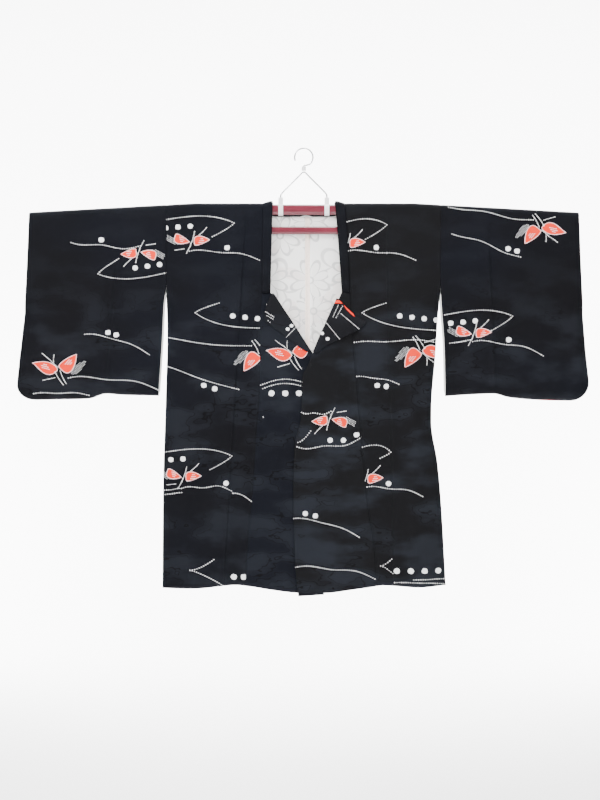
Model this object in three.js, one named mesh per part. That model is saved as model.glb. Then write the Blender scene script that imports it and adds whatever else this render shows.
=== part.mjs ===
// A women's hip-length kimono coat, front edges lapped and upper corners turned out as lapels,
// hanging on a two-bar kimono hanger. Millimetres, +Z up, the coat's front faces -Y.
// The origin is the point under the hanger's hook that rests on a rail.
import * as THREE from "three";

// Coat sizes. "down" is always measured from the top of the shoulder, x from the hook's centre.
const SHOULDER_Z = -129;
const ARMHOLE = 190;
const SIDE_SEAM_FROM = 290;
const CLOTH = 2;
const SEAM = 0.3;

// How the cloth hangs: it bends over the bar, then front and back spread towards the hem.
const BEND = 11;
const SPREAD = 0.018;
const SEAM_SOFTNESS = 85;
const SLOPE_FROM = 262;
const SLOPE = 0.0555;
const NECK_RISE = 5;

// Neck band across the back: its middle line, half width and corner bend on the cloth.
const BAND_HALF = 11.5;
const BAND_BACK = 24.5;
const BAND_CORNER = 20;
const BAND_X = 85.5;
const NECK_SEAM = 0.8;

// Front layers: how far the lapped front lies over the under front, and the lapel's roll.
const LAP_PROUD = 5;
const FACING_CLOTH = 1;
const FACING_PROUD = 2.9;
const FACING_WIDTH = 61;
const ROLL = 3;
const ROLL_BACK = { right: 5.6, left: 4.5 };
const LAPEL_SETTLE = 3.5;
const UNDER_FOLD_DOWN = 356;

// Lining of the back.
const LINING_CLOTH = 1;
const LINING_IN = 2.4;
const LINING_SHORT = 22;
const LINING_SIDE_GAP = 88;
const CENTRE_X = 3;

// Sleeve lining that shows at the open inner edge.
const FURI_SHOW = 2;
const FURI_DEPTH = 28;

// Sleeve edge: front and back close over this distance.
const SLEEVE_CLOSE = 26;

// Hanger.
const BAR = { half: 230, tall: 25, deep: 15 };
const BAR_TOP = SHOULDER_Z - 2.6;
const BAR_Z = BAR_TOP - BAR.tall / 2;
const ROD = { tall: 18, deep: 9, end: 632, sag: 1.04, drop: 18 };
const ROD_GAP = 0.8;
const CAP = { tall: 20.4, deep: 11.4, long: 12 };
const LOWER = { half: 172, tall: 18, deep: 10, z: -193.4 };
const BRACKET = { x: 150, wide: 16, deep: 9 };
const RING = { x: 54.7, wide: 11, wall: 1.8, lug: 14, lugDeep: 7 };
const WIRE = 1.75;
const BAIL_TOP = -54;
const HOOK_R = 20 + WIRE;
const COLLAR = { radius: 5, tall: 10 };

// The wearer's right half is at -X and the left half, which laps over it, at +X.
const RIGHT = {
  sign: -1,
  side: [
    { down: 0, x: 325 }, { down: 192, x: 325 }, { down: 308, x: 323 }, { down: 466, x: 327 },
    { down: 676, x: 333 }, { down: 912, x: 335 },
  ],
  seam: [
    { down: 0, x: 97 }, { down: 211, x: 99 }, { down: 277, x: 103 }, { down: 443, x: 104 },
    { down: 560, x: 113 }, { down: 660, x: 119 }, { down: 796, x: 131 }, { down: 912, x: 139 },
  ],
  band: [{ down: 0, inner: 74, outer: 97 }, { down: 211, inner: 79, outer: 98.7 }],
  hem: [
    { x: -340, down: 911 }, { x: -251, down: 910 }, { x: -188, down: 904 }, { x: -162, down: 902 },
    { x: -120, down: 906 }, { x: -83, down: 912 }, { x: -15, down: 920 }, { x: 48, down: 921 },
  ],
  crease: { top: 135, foot: 188 },
};
const LEFT = {
  sign: 1,
  side: [
    { down: 0, x: 325 }, { down: 190, x: 323 }, { down: 273, x: 317 }, { down: 353, x: 312 },
    { down: 494, x: 302 }, { down: 518, x: 302 }, { down: 617, x: 317 }, { down: 721, x: 326 },
    { down: 904, x: 338 },
  ],
  seam: [
    { down: 0, x: 97 }, { down: 60, x: 102 }, { down: 211, x: 109 }, { down: 329, x: 116 },
    { down: 409, x: 123 }, { down: 537, x: 134 }, { down: 643, x: 143 }, { down: 733, x: 153 },
    { down: 787, x: 163 }, { down: 904, x: 173 },
  ],
  band: [
    { down: 0, inner: 74, outer: 97 }, { down: 60, inner: 79, outer: 102 },
    { down: 211, inner: 90, outer: 108.7 },
  ],
  hem: [
    { x: -25, down: 920 }, { x: 49, down: 920 }, { x: 104, down: 914 }, { x: 150, down: 908 },
    { x: 188, down: 903 }, { x: 213, down: 904 }, { x: 272, down: 908 }, { x: 340, down: 903 },
  ],
  crease: { top: 196, foot: 213 },
};
const BACK_HEM = 905;

// Free front edges: the lapel's fold line down to the crossing, then the edge down to the hem.
const UNDER_EDGE = [
  { down: 211, x: -77 }, { down: 218, x: -68 }, { down: 249, x: -49 }, { down: 279, x: -29 },
  { down: 327, x: 0 }, { down: 356, x: 21 }, { down: 921, x: 48 },
];
const TOP_EDGE = [
  { down: 211, x: 86 }, { down: 226, x: 78 }, { down: 277, x: 55 }, { down: 336, x: 29 },
  { down: 356, x: 21 }, { down: 391, x: 6 }, { down: 405, x: -2 }, { down: 428, x: -4 },
  { down: 509, x: -7 }, { down: 567, x: -21 }, { down: 676, x: -25 }, { down: 839, x: -21 },
  { down: 921, x: -14 },
];

// Turned-out corners: each row pairs a point of the fold line with one of the lapel's outer edge.
const RIGHT_LAPEL = [
  { foldX: -73, foldDown: 214, edgeX: -78, edgeDown: 217 },
  { foldX: -68, foldDown: 220, edgeX: -88, edgeDown: 242 },
  { foldX: -60, foldDown: 232, edgeX: -92, edgeDown: 262 },
  { foldX: -49, foldDown: 249, edgeX: -93, edgeDown: 275 },
  { foldX: -39, foldDown: 264, edgeX: -78, edgeDown: 291 },
  { foldX: -29, foldDown: 279, edgeX: -59, edgeDown: 305 },
  { foldX: -10, foldDown: 309, edgeX: -33, edgeDown: 324 },
  { foldX: 8, foldDown: 337, edgeX: -5, edgeDown: 345 },
  { foldX: 16, foldDown: 349, edgeX: 9, edgeDown: 353 },
];
const LEFT_LAPEL = [
  { foldX: 78, foldDown: 226, edgeX: 85, edgeDown: 231 },
  { foldX: 73, foldDown: 237, edgeX: 100, edgeDown: 247 },
  { foldX: 62, foldDown: 261, edgeX: 127, edgeDown: 270 },
  { foldX: 55, foldDown: 277, edgeX: 147, edgeDown: 282 },
  { foldX: 47, foldDown: 295, edgeX: 128, edgeDown: 301 },
  { foldX: 38, foldDown: 314, edgeX: 90, edgeDown: 320 },
  { foldX: 29, foldDown: 336, edgeX: 50, edgeDown: 341 },
  { foldX: 22, foldDown: 353, edgeX: 31, edgeDown: 356 },
];

// Sleeves: inner edge below the armhole, foot from the body outwards, then the outer edge.
const RIGHT_SLEEVE = {
  sign: -1,
  inner: [
    { down: 0, x: 325 }, { down: 192, x: 325 }, { down: 240, x: 331 }, { down: 322, x: 335 },
    { down: 456, x: 344 },
  ],
  foot: [
    { x: 344, down: 456 }, { x: 429, down: 454 }, { x: 469, down: 451 }, { x: 509, down: 463 },
    { x: 636, down: 466 },
  ],
  outer: [
    { x: 680, down: 431 }, { x: 674, down: 372 }, { x: 660, down: 252 },
  ],
  tip: 650,
  crease: { top: 429, foot: 469 },
};
const LEFT_SLEEVE = {
  sign: 1,
  inner: [
    { down: 0, x: 325 }, { down: 190, x: 323 }, { down: 263, x: 327 }, { down: 332, x: 332 },
    { down: 457, x: 335 },
  ],
  foot: [
    { x: 335, down: 457 }, { x: 397, down: 453 }, { x: 451, down: 451 }, { x: 486, down: 460 },
    { x: 578, down: 467 }, { x: 632, down: 468 },
  ],
  outer: [
    { x: 676, down: 424 }, { x: 668, down: 353 }, { x: 660, down: 252 },
  ],
  tip: 651,
  crease: { top: 432, foot: 451 },
};
const SLEEVE_RINGS = 18;
const FROM_TOP = [0, 1.5, 5.5, 11, 55];
const FROM_FOOT = [70, 26, 14, 6, 2, 0];

// Soft pressed creases that run down the cloth.
const CREASE_WIDTH = 13;
const CREASE_RISE = 2.2;

const COLOURS = {
  coat: [0x22242a, 0.85, 0],
  lining: [0xf3f1ec, 0.7, 0],
  loop: [0xeeeeea, 0.8, 0],
  bar: [0x963243, 0.25, 0],
  rod: [0x8f2f40, 0.3, 0],
  band: [0xefeff0, 0.4, 0],
  wire: [0xc9ccd0, 0.25, 1],
};

const clamp = (v, low, high) => Math.min(Math.max(v, low), high);
const mix = (a, b, t) => a + (b - a) * t;
const smooth = (t) => {
  const u = clamp(t, 0, 1);
  return u * u * (3 - 2 * u);
};
const steps = (count) => Array.from({ length: count + 1 }, (_, i) => i / count);

// Value of one column of a table at a given value of another, straight between rows.
function read(table, key, at, column) {
  const after = table.findIndex((row) => row[key] >= at);
  if (after === 0) return table[0][column];
  if (after < 0) return table.at(-1)[column];
  const [a, b] = [table[after - 1], table[after]];
  return mix(a[column], b[column], (at - a[key]) / (b[key] - a[key]));
}

// Points spread along a polyline of {x, down} rows, at fraction t of its length.
function along(rows, t) {
  const lengths = rows.slice(1).map((b, i) => Math.hypot(b.x - rows[i].x, b.down - rows[i].down));
  let left = t * lengths.reduce((sum, length) => sum + length, 0);
  for (const [i, length] of lengths.entries()) {
    if (left <= length || i === lengths.length - 1) {
      const u = Math.min(left / length, 1);
      return { x: mix(rows[i].x, rows[i + 1].x, u), down: mix(rows[i].down, rows[i + 1].down, u) };
    }
    left -= length;
  }
  return rows.at(-1);
}

// Closed wall from a grid of points on the cloth's middle surface; round joins the last column
// to the first.
function wall(grid, thickness, round = false) {
  const rows = grid.length;
  const columns = grid[0].length;
  const at = (i, j) => grid[clamp(i, 0, rows - 1)][round ? (j + columns) % columns : clamp(j, 0, columns - 1)];
  const points = [];
  for (const face of [1, -1])
    for (let i = 0; i < rows; i++)
      for (let j = 0; j < columns; j++) {
        const down = new THREE.Vector3().subVectors(at(i + 1, j), at(i - 1, j));
        const across = new THREE.Vector3().subVectors(at(i, j + 1), at(i, j - 1));
        const normal = down.cross(across).normalize();
        points.push(at(i, j).clone().addScaledVector(normal, (face * thickness) / 2));
      }
  const index = (face, i, j) => face * rows * columns + i * columns + (round ? j % columns : j);
  const faces = [];
  const quad = (a, b, c, d) => faces.push(a, b, c, a, c, d);
  const lastColumn = round ? columns : columns - 1;
  for (let i = 0; i < rows - 1; i++)
    for (let j = 0; j < lastColumn; j++) {
      quad(index(0, i, j), index(0, i + 1, j), index(0, i + 1, j + 1), index(0, i, j + 1));
      quad(index(1, i, j), index(1, i, j + 1), index(1, i + 1, j + 1), index(1, i + 1, j));
    }
  for (let j = 0; j < lastColumn; j++) {
    quad(index(0, 0, j), index(0, 0, j + 1), index(1, 0, j + 1), index(1, 0, j));
    quad(index(1, rows - 1, j), index(1, rows - 1, j + 1), index(0, rows - 1, j + 1), index(0, rows - 1, j));
  }
  if (!round)
    for (let i = 0; i < rows - 1; i++) {
      quad(index(1, i, 0), index(1, i + 1, 0), index(0, i + 1, 0), index(0, i, 0));
      quad(index(0, i, columns - 1), index(0, i + 1, columns - 1), index(1, i + 1, columns - 1), index(1, i, columns - 1));
    }
  return outward(points, faces);
}

// Indexed geometry whose faces point out, whichever way the grid ran.
function outward(points, faces) {
  let volume = 0;
  for (let k = 0; k < faces.length; k += 3) {
    const [a, b, c] = [points[faces[k]], points[faces[k + 1]], points[faces[k + 2]]];
    volume += a.dot(new THREE.Vector3().crossVectors(b, c));
  }
  const turned = volume < 0 ? faces.slice().reverse() : faces;
  const geometry = new THREE.BufferGeometry().setFromPoints(points);
  geometry.setIndex(turned);
  geometry.computeVertexNormals();
  return geometry;
}

const coat = new THREE.Group();
const materials = Object.fromEntries(
  Object.entries(COLOURS).map(([name, [color, roughness, metalness]]) => [
    name,
    new THREE.MeshStandardMaterial({ color, roughness, metalness }),
  ]),
);
function add(name, geometry, material, parent = coat) {
  const mesh = new THREE.Mesh(geometry, materials[material]);
  mesh.name = name;
  parent.add(mesh);
  return mesh;
}

// How far the shoulder line has fallen at x, and the stiff band's rise beside the neck.
const fall = (x) => SLOPE * Math.max(Math.abs(x) - SLOPE_FROM, 0);
const crownZ = (x) => SHOULDER_Z - CLOTH / 2 - fall(x);
const rise = (x, run) =>
  NECK_RISE * smooth((97 - Math.abs(x)) / 23) * smooth(1 - Math.abs(run) / 40);

// Length of cloth from the shoulder fold to a depth below it.
const BENT = (BEND * Math.PI) / 2;
const runAt = (x, down) => crownZ(x) - SHOULDER_Z + down - BEND + BENT;

const half = (x) => (x < CENTRE_X ? RIGHT : LEFT);
const creaseAt = (crease, x, down) =>
  CREASE_RISE * Math.exp(-(((Math.abs(x) - mix(crease.top, crease.foot, down / 910)) / CREASE_WIDTH) ** 2));

// Half the gap between front and back: open at the armholes, closing to the side seam below.
function gap(x, hang, front) {
  const open = BEND + SPREAD * hang;
  const body = half(x);
  const down = hang + BEND;
  const inward = clamp((read(body.side, "down", down, "x") - Math.abs(x)) / SEAM_SOFTNESS, 0, 1);
  const shut = CLOTH / 2 + SEAM / 2;
  const closed = mix(shut, open, 1 - (1 - inward) ** 2);
  const pressed = mix(open, closed, smooth((down - ARMHOLE) / (SIDE_SEAM_FROM - ARMHOLE)));
  return pressed + (front ? creaseAt(body.crease, x, down) * smooth(hang / 60) * inward : 0);
}

// A point of the cloth: x across, run along it from the shoulder fold (front negative), and how
// far it stands proud of the coat's middle surface.
function seat(x, run, proud = 0) {
  const way = run < 0 ? -1 : 1;
  const reach = Math.abs(run);
  const angle = Math.min(reach, BENT) / BEND;
  const hang = Math.max(reach - BENT, 0);
  const out = (hang > 0 ? gap(x, hang, way < 0) : BEND * Math.sin(angle)) + proud;
  const z = crownZ(x) - BEND * (1 - Math.cos(angle)) - hang + rise(x, run);
  return new THREE.Vector3(x, way * out, z);
}

// Rows from the hem up to the neck band's end, shared by the body and the front panel it is
// sewn to, closer together towards the lapels.
const PANEL_ROWS = 20;
const PANEL_TOP = 214;
const seamRows = (body) => {
  const seamX = body.sign * read(body.seam, "down", BACK_HEM, "x");
  const hemDown = read(body.hem, "x", seamX, "down");
  return steps(PANEL_ROWS).map((t) => mix(hemDown, PANEL_TOP, 1 - (1 - t) ** 1.3));
};

// Body halves: one length of cloth from the front hem over the shoulder to the back hem.
const SHOULDER_ROWS = 4;
const BEND_ROWS = 6;
const NECK_ROWS = 4;
const BACK_ROWS = 12;
const BODY_COLUMNS = [0, 0.05, 0.12, 0.21, 0.33, 0.47, 0.6, 0.7, 0.76, 0.81, 0.87, 0.93, 1];

function bodyEdges(body) {
  const { sign } = body;
  const side = [];
  const inner = [];
  const sideAt = (down) => read(body.side, "down", down, "x") - SEAM;
  const put = (sideX, sideRun, innerX, innerRun) => {
    side.push({ x: sign * sideX, run: sideRun });
    inner.push({ x: sign * innerX, run: innerRun });
  };
  const rows = seamRows(body);
  const sideHem = read(body.hem, "x", sign * sideAt(BACK_HEM), "down");
  const shoulder = steps(SHOULDER_ROWS).slice(1).map((t) => mix(PANEL_TOP, BEND, t));
  for (const innerDown of [...rows, ...shoulder]) {
    const sideDown = mix(sideHem, BEND, (rows[0] - innerDown) / (rows[0] - BEND));
    const innerX = read(body.seam, "down", innerDown, "x") + SEAM / 2;
    put(sideAt(sideDown), -runAt(sideAt(sideDown), sideDown), innerX, -runAt(innerX, innerDown));
  }
  const corner = BAND_X - BAND_CORNER;
  const outerBend = BAND_CORNER + BAND_HALF + NECK_SEAM;
  const backNeck = BAND_BACK + BAND_HALF + NECK_SEAM;
  const turnFrom = BAND_BACK - BAND_CORNER;
  const onCorner = (run) =>
    corner + Math.sqrt(Math.max(outerBend ** 2 - Math.max(run - turnFrom, 0) ** 2, 0));
  const downOf = (run) => run - BENT + BEND;
  for (const t of steps(BEND_ROWS).slice(1)) {
    const run = mix(-BENT, BENT, t);
    put(sideAt(0), run, onCorner(run), run);
  }
  for (const t of steps(NECK_ROWS).slice(1)) {
    const sideRun = BENT + 30 * t;
    const run = mix(BENT, backNeck, Math.sin((t * Math.PI) / 2));
    put(sideAt(downOf(sideRun)), sideRun, onCorner(run), run);
  }
  const centre = sign * CENTRE_X + SEAM / 2;
  for (const t of [0.5, 1]) {
    const sideRun = BENT + 30 + 24 * t;
    put(sideAt(downOf(sideRun)), sideRun, mix(corner, centre, t), backNeck);
  }
  const sideTo = runAt(sideAt(BACK_HEM), BACK_HEM);
  for (const t of steps(BACK_ROWS).slice(1)) {
    const sideRun = mix(BENT + 54, sideTo, t);
    put(sideAt(downOf(sideRun)), sideRun, centre, mix(backNeck, runAt(0, BACK_HEM), t));
  }
  return { side, inner };
}

function buildBody(name, body) {
  const { side, inner } = bodyEdges(body);
  const grid = side.map((edge, i) =>
    BODY_COLUMNS.map((t) => seat(mix(edge.x, inner[i].x, t), mix(edge.run, inner[i].run, t))),
  );
  add(name, wall(grid, CLOTH), "coat");
}

// Front panels: from the seam to the free edge, hem to neck band.
const PANEL_COLUMNS = 8;

const lapProud = (x) => LAP_PROUD * smooth((read(LEFT.seam, "down", 500, "x") - 12 - x) / 50);

function buildPanel(name, body, edge, rollBack, proudAt) {
  const { sign } = body;
  const rows = seamRows(body);
  const edgeHem = read(body.hem, "x", edge.at(-1).x, "down");
  const grid = rows.map((seamDown) => {
    const t = (rows[0] - seamDown) / (rows[0] - PANEL_TOP);
    const edgeDown = mix(edgeHem, PANEL_TOP, t);
    const onSeam = sign * (read(body.seam, "down", seamDown, "x") - SEAM / 2);
    const back = rollBack * smooth((UNDER_FOLD_DOWN + 45 - edgeDown) / 20);
    const onEdge = read(edge, "down", edgeDown, "x") + sign * back;
    return steps(PANEL_COLUMNS).map((u) => {
      const x = mix(onSeam, onEdge, u);
      return seat(x, -runAt(x, mix(seamDown, edgeDown, u)), proudAt(x));
    });
  });
  add(name, wall(grid, CLOTH), "coat");
}

// Facing: the doubled front strip behind the lapped edge, which reaches lower than the hem.
const FACING_TOP = 440;
const FACING_DROP = 8;
function buildFacing() {
  const grid = steps(16).map((t) =>
    steps(3).map((u) => {
      const down = mix(read(LEFT.hem, "x", 0, "down") + mix(FACING_DROP, 4, u), FACING_TOP, t);
      const x = read(TOP_EDGE, "down", down, "x") + 1 + FACING_WIDTH * u;
      return seat(x, -runAt(x, down), FACING_PROUD);
    }),
  );
  add("facing_left", wall(grid, FACING_CLOTH), "coat");
}

// Lapels: the cloth rolls forward over the fold line and lies on the panel.
const ROLL_STEPS = 6;
const FLAT_STEPS = 5;
const LAPEL_ROWS = 14;
function buildLapel(name, rows, proudAt) {
  const station = (t) => {
    const place = t * (rows.length - 1);
    const i = Math.min(Math.floor(place), rows.length - 2);
    const value = (key) => mix(rows[i][key], rows[i + 1][key], place - i);
    return {
      fold: { x: value("foldX"), down: value("foldDown") },
      edge: { x: value("edgeX"), down: value("edgeDown") },
    };
  };
  const grid = steps(LAPEL_ROWS).map((t) => {
    const { fold, edge } = station(t);
    const wide = Math.hypot(fold.x - edge.x, fold.down - edge.down);
    const way = { x: (fold.x - edge.x) / wide, down: (fold.down - edge.down) / wide };
    const start = { x: fold.x - way.x * ROLL, down: fold.down - way.down * ROLL };
    const roll = steps(ROLL_STEPS).map((u) => {
      const angle = u * Math.PI;
      const x = start.x + way.x * ROLL * Math.sin(angle);
      const down = start.down + way.down * ROLL * Math.sin(angle);
      return seat(x, -runAt(x, down), proudAt(start.x) + ROLL * (1 - Math.cos(angle)));
    });
    const flat = steps(FLAT_STEPS).slice(1).map((u) => {
      const x = mix(start.x, edge.x, u);
      const down = mix(start.down, edge.down, u);
      return seat(x, -runAt(x, down), proudAt(x) + mix(2 * ROLL, LAPEL_SETTLE, smooth(u)));
    });
    return [...roll, ...flat];
  });
  add(name, wall(grid, CLOTH), "coat");
}

// Neck band: up one front, over the shoulder, across the back neck and down the other front.
function buildNeckBand() {
  const side = (body) => {
    const rows = [];
    for (const t of steps(8)) {
      const down = mix(210, BEND, t);
      const inner = read(body.band, "down", down, "inner");
      const outer = read(body.band, "down", down, "outer") - SEAM;
      rows.push([
        { x: body.sign * outer, run: -runAt(outer, down) },
        { x: body.sign * inner, run: -runAt(inner, down) },
      ]);
    }
    const turnFrom = BAND_BACK - BAND_CORNER;
    for (const run of [-BENT * 0.66, -BENT * 0.33, 0])
      rows.push([
        { x: body.sign * (BAND_X + BAND_HALF), run },
        { x: body.sign * (BAND_X - BAND_HALF), run },
      ]);
    for (const t of steps(6)) {
      const angle = (t * Math.PI) / 2;
      const turn = (radius) => ({
        x: body.sign * (BAND_X - BAND_CORNER + radius * Math.cos(angle)),
        run: turnFrom + radius * Math.sin(angle),
      });
      rows.push([turn(BAND_CORNER + BAND_HALF), turn(BAND_CORNER - BAND_HALF)]);
    }
    return rows;
  };
  const right = side(RIGHT);
  const left = side(LEFT).reverse();
  const middle = [
    { x: -30, run: BAND_BACK }, { x: 0, run: BAND_BACK }, { x: 30, run: BAND_BACK },
  ].map(({ x, run }) => [{ x, run: run + BAND_HALF }, { x, run: run - BAND_HALF }]);
  const grid = [...right, ...middle, ...left].map(([outer, inner]) =>
    steps(3).map((u) => seat(mix(outer.x, inner.x, u), mix(outer.run, inner.run, u))),
  );
  add("neck_band", wall(grid, CLOTH), "coat");
}

// Back lining, seamed down the middle, just inside the back.
function buildLining(name, body) {
  const grid = steps(16).map((t) => {
    const down = mix(BACK_HEM - LINING_SHORT, 32, t);
    const wide = read(body.side, "down", down, "x") - LINING_SIDE_GAP - CENTRE_X * body.sign;
    return steps(7).map((u) => {
      const x = CENTRE_X + body.sign * (SEAM / 2 + wide * u);
      return seat(x, runAt(x, down), -LINING_IN);
    });
  });
  add(name, wall(grid, LINING_CLOTH), "lining");
}

// Sleeves: a bag folded at the top, open along the body and at the cuff.
const innerAt = (sleeve, down) => read(sleeve.inner, "down", down, "x");

// Rounded corner between the foot and the outer edge, as rows of the closed edge.
function closedEdge(sleeve) {
  const low = sleeve.foot.at(-1);
  const high = sleeve.outer[0];
  const corner = steps(6).slice(1, -1).map((t) => {
    const angle = (t * Math.PI) / 2;
    return {
      x: mix(low.x, high.x, Math.sin(angle)),
      down: mix(high.down, low.down, Math.cos(angle)),
    };
  });
  return [...sleeve.foot, ...corner, ...sleeve.outer];
}

function distanceTo(rows, x, down) {
  let least = Infinity;
  for (let i = 0; i + 1 < rows.length; i++) {
    const [a, b] = [rows[i], rows[i + 1]];
    const [dx, dd] = [b.x - a.x, b.down - a.down];
    const t = clamp(((x - a.x) * dx + (down - a.down) * dd) / (dx * dx + dd * dd), 0, 1);
    least = Math.min(least, Math.hypot(x - a.x - t * dx, down - a.down - t * dd));
  }
  return least;
}

// Half the gap between the sleeve's front and back at a place.
function sleeveGap(sleeve, closed, x, down) {
  const below = crownZ(x) - (SHOULDER_Z - down);
  const arc = Math.sqrt(Math.max(BEND ** 2 - (BEND - Math.min(below, BEND)) ** 2, 0));
  const hang = clamp(below - BEND, 0, ARMHOLE);
  const near = clamp(distanceTo(closed, x, down) / SLEEVE_CLOSE, 0, 1);
  const scale = 910 / sleeve.inner.at(-1).down;
  const crease = creaseAt(sleeve.crease, x, down * scale) * smooth(below / 60);
  return (arc + SPREAD * hang) * Math.sqrt(1 - (1 - near) ** 2) + crease * near ** 2;
}

// The inner edge is not straight: the rings beside it follow it less and less.
function innerBow(sleeve, t, down) {
  const foot = sleeve.inner.at(-1);
  const straight = mix(innerAt(sleeve, 0), foot.x, clamp(down / foot.down, 0, 1));
  return (innerAt(sleeve, down) - straight) * (1 - smooth(t * 4));
}

// Where a ring starts along the top fold: closer together towards the cuff.
const topShare = (t) => mix(1 - (1 - t) ** 2.8, t, 0.1);

// One ring of the sleeve: down the front from the top point to the foot point, up the back.
function sleeveRing(sleeve, closed, t) {
  const foot = along(closed, t);
  const top = mix(innerAt(sleeve, 0), sleeve.tip, topShare(t));
  const topDown = SHOULDER_Z - crownZ(top);
  const long = Math.hypot(foot.x - top, foot.down - topDown);
  const middle = steps(4).slice(1, -1).map((u) => mix(FROM_TOP.at(-1), long - FROM_FOOT[0], u));
  const places = [...FROM_TOP, ...middle, ...FROM_FOOT.map((d) => long - d)];
  const sides = [-1, 1].map((way) =>
    places.map((place) => {
      const down = mix(topDown, foot.down, place / long);
      const x = mix(top, foot.x, place / long) + innerBow(sleeve, t, down) + SEAM / 2;
      const out = sleeveGap(sleeve, closed, x - SEAM / 2, down);
      return new THREE.Vector3(sleeve.sign * x, way * out, SHOULDER_Z - down);
    }),
  );
  return [...sides[0], ...sides[1].slice(1, -1).reverse()];
}

function buildSleeve(name, sleeve) {
  const closed = closedEdge(sleeve);
  const rings = steps(SLEEVE_RINGS).map((t) => sleeveRing(sleeve, closed, t));
  add(name, wall(rings, CLOTH, true), "coat");
}

// Sleeve lining that peeps out along the open inner edge below the armhole: down the front,
// round the foot and up the back, just inside the sleeve.
function buildFuriLining(name, sleeve) {
  const closed = closedEdge(sleeve);
  const from = ARMHOLE + 26;
  const foot = sleeve.foot[0].down - 8;
  const downs = [...steps(9).map((t) => mix(from, foot - 8, t)), foot - 4, foot - 1];
  const line = (down, x, way) => {
    const out = Math.max(sleeveGap(sleeve, closed, x, down) - 2.6, 0.4);
    return new THREE.Vector3(sleeve.sign * x, way * out, SHOULDER_Z - down);
  };
  const row = (down, way) =>
    steps(2).map((u) => {
      const x = innerAt(sleeve, down) + SEAM / 2 - FURI_SHOW + FURI_DEPTH * u;
      return line(down, x, way);
    });
  const grid = [...downs.map((down) => row(down, -1)), ...downs.slice().reverse().map((down) => row(down, 1))];
  add(name, wall(grid, 1), "lining");
}

// Hanging loop of cord inside the back neck band.
function buildLoop() {
  const y = BEND - CLOTH / 2 - 1.2 - SEAM;
  const path = new THREE.QuadraticBezierCurve3(
    new THREE.Vector3(-11, y, -158), new THREE.Vector3(5, y, -150), new THREE.Vector3(22, y, -158),
  );
  add("hanging_loop", tube(path, 1.2, 8, 3), "loop");
}

const circle = (radius) => new THREE.Shape().absarc(0, 0, radius, 0, Math.PI * 2, false);

function tube(path, radius, lengthSteps, sides) {
  return new THREE.ExtrudeGeometry(circle(radius), {
    steps: lengthSteps,
    curveSegments: sides,
    extrudePath: path,
  });
}

// Oval bar along X, tall in Z and deep in Y.
function oval(tall, deep, long) {
  const shape = new THREE.Shape().absellipse(0, 0, tall / 2, deep / 2, 0, Math.PI * 2, false, 0);
  const geometry = new THREE.ExtrudeGeometry(shape, { depth: long, bevelEnabled: false, curveSegments: 20 });
  return geometry.translate(0, 0, -long / 2).rotateY(Math.PI / 2);
}

function buildHanger() {
  const hanger = new THREE.Group();
  coat.add(hanger);
  add("upper_bar", oval(BAR.tall, BAR.deep, 2 * BAR.half), "bar", hanger).position.z = BAR_Z;
  add("lower_bar", oval(LOWER.tall, LOWER.deep, 2 * LOWER.half), "bar", hanger).position.z = LOWER.z;
  const span = ROD.end - BAR.half;
  const tilt = Math.atan2(ROD.drop, span);
  for (const [label, sign] of [["right", -1], ["left", 1]]) {
    const rod = new THREE.Group();
    rod.position.set(sign * BAR.half, 0, BAR_Z - ROD.sag);
    rod.rotation.y = sign * tilt;
    hanger.add(rod);
    const long = span / Math.cos(tilt);
    add(`rod_${label}`, oval(ROD.tall, ROD.deep, long), "rod", rod).position.x = sign * (ROD_GAP + long / 2);
    const cap = add(`rod_cap_${label}`, oval(CAP.tall, CAP.deep, CAP.long), "rod", rod);
    cap.position.x = sign * (ROD_GAP + long + SEAM + CAP.long / 2);
    const high = BAR_Z - BAR.tall / 2 - (LOWER.z + LOWER.tall / 2) - 2 * SEAM;
    const bracket = new THREE.BoxGeometry(BRACKET.wide, BRACKET.deep, high);
    const bracketZ = LOWER.z + LOWER.tall / 2 + SEAM + high / 2;
    add(`bracket_${label}`, bracket, "bar", hanger).position.set(sign * BRACKET.x, 0, bracketZ);
    buildRing(`bail_band_${label}`, sign, hanger);
  }
  buildBail(hanger);
}

// White band round the upper bar, with the lug on top that holds the wire.
function buildRing(name, sign, hanger) {
  const outerTall = BAR.tall + 2 * (SEAM + RING.wall);
  const outerDeep = BAR.deep + 2 * (SEAM + RING.wall);
  const half = outerTall / 2;
  const shape = new THREE.Shape();
  const lugHalf = RING.lugDeep / 2;
  const meet = Math.asin(lugHalf / (outerDeep / 2));
  shape.absellipse(0, 0, half, outerDeep / 2, meet, Math.PI * 2 - meet, false, 0);
  shape.lineTo(half + RING.lug, -lugHalf);
  shape.lineTo(half + RING.lug, lugHalf);
  shape.holes.push(
    new THREE.Path().absellipse(0, 0, half - RING.wall, outerDeep / 2 - RING.wall, 0, Math.PI * 2, true, 0),
  );
  const geometry = new THREE.ExtrudeGeometry(shape, { depth: RING.wide, bevelEnabled: false, curveSegments: 16 });
  geometry.translate(0, 0, -RING.wide / 2).rotateY(-Math.PI / 2);
  add(name, geometry, "band", hanger).position.set(sign * RING.x, 0, BAR_Z);
}

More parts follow.
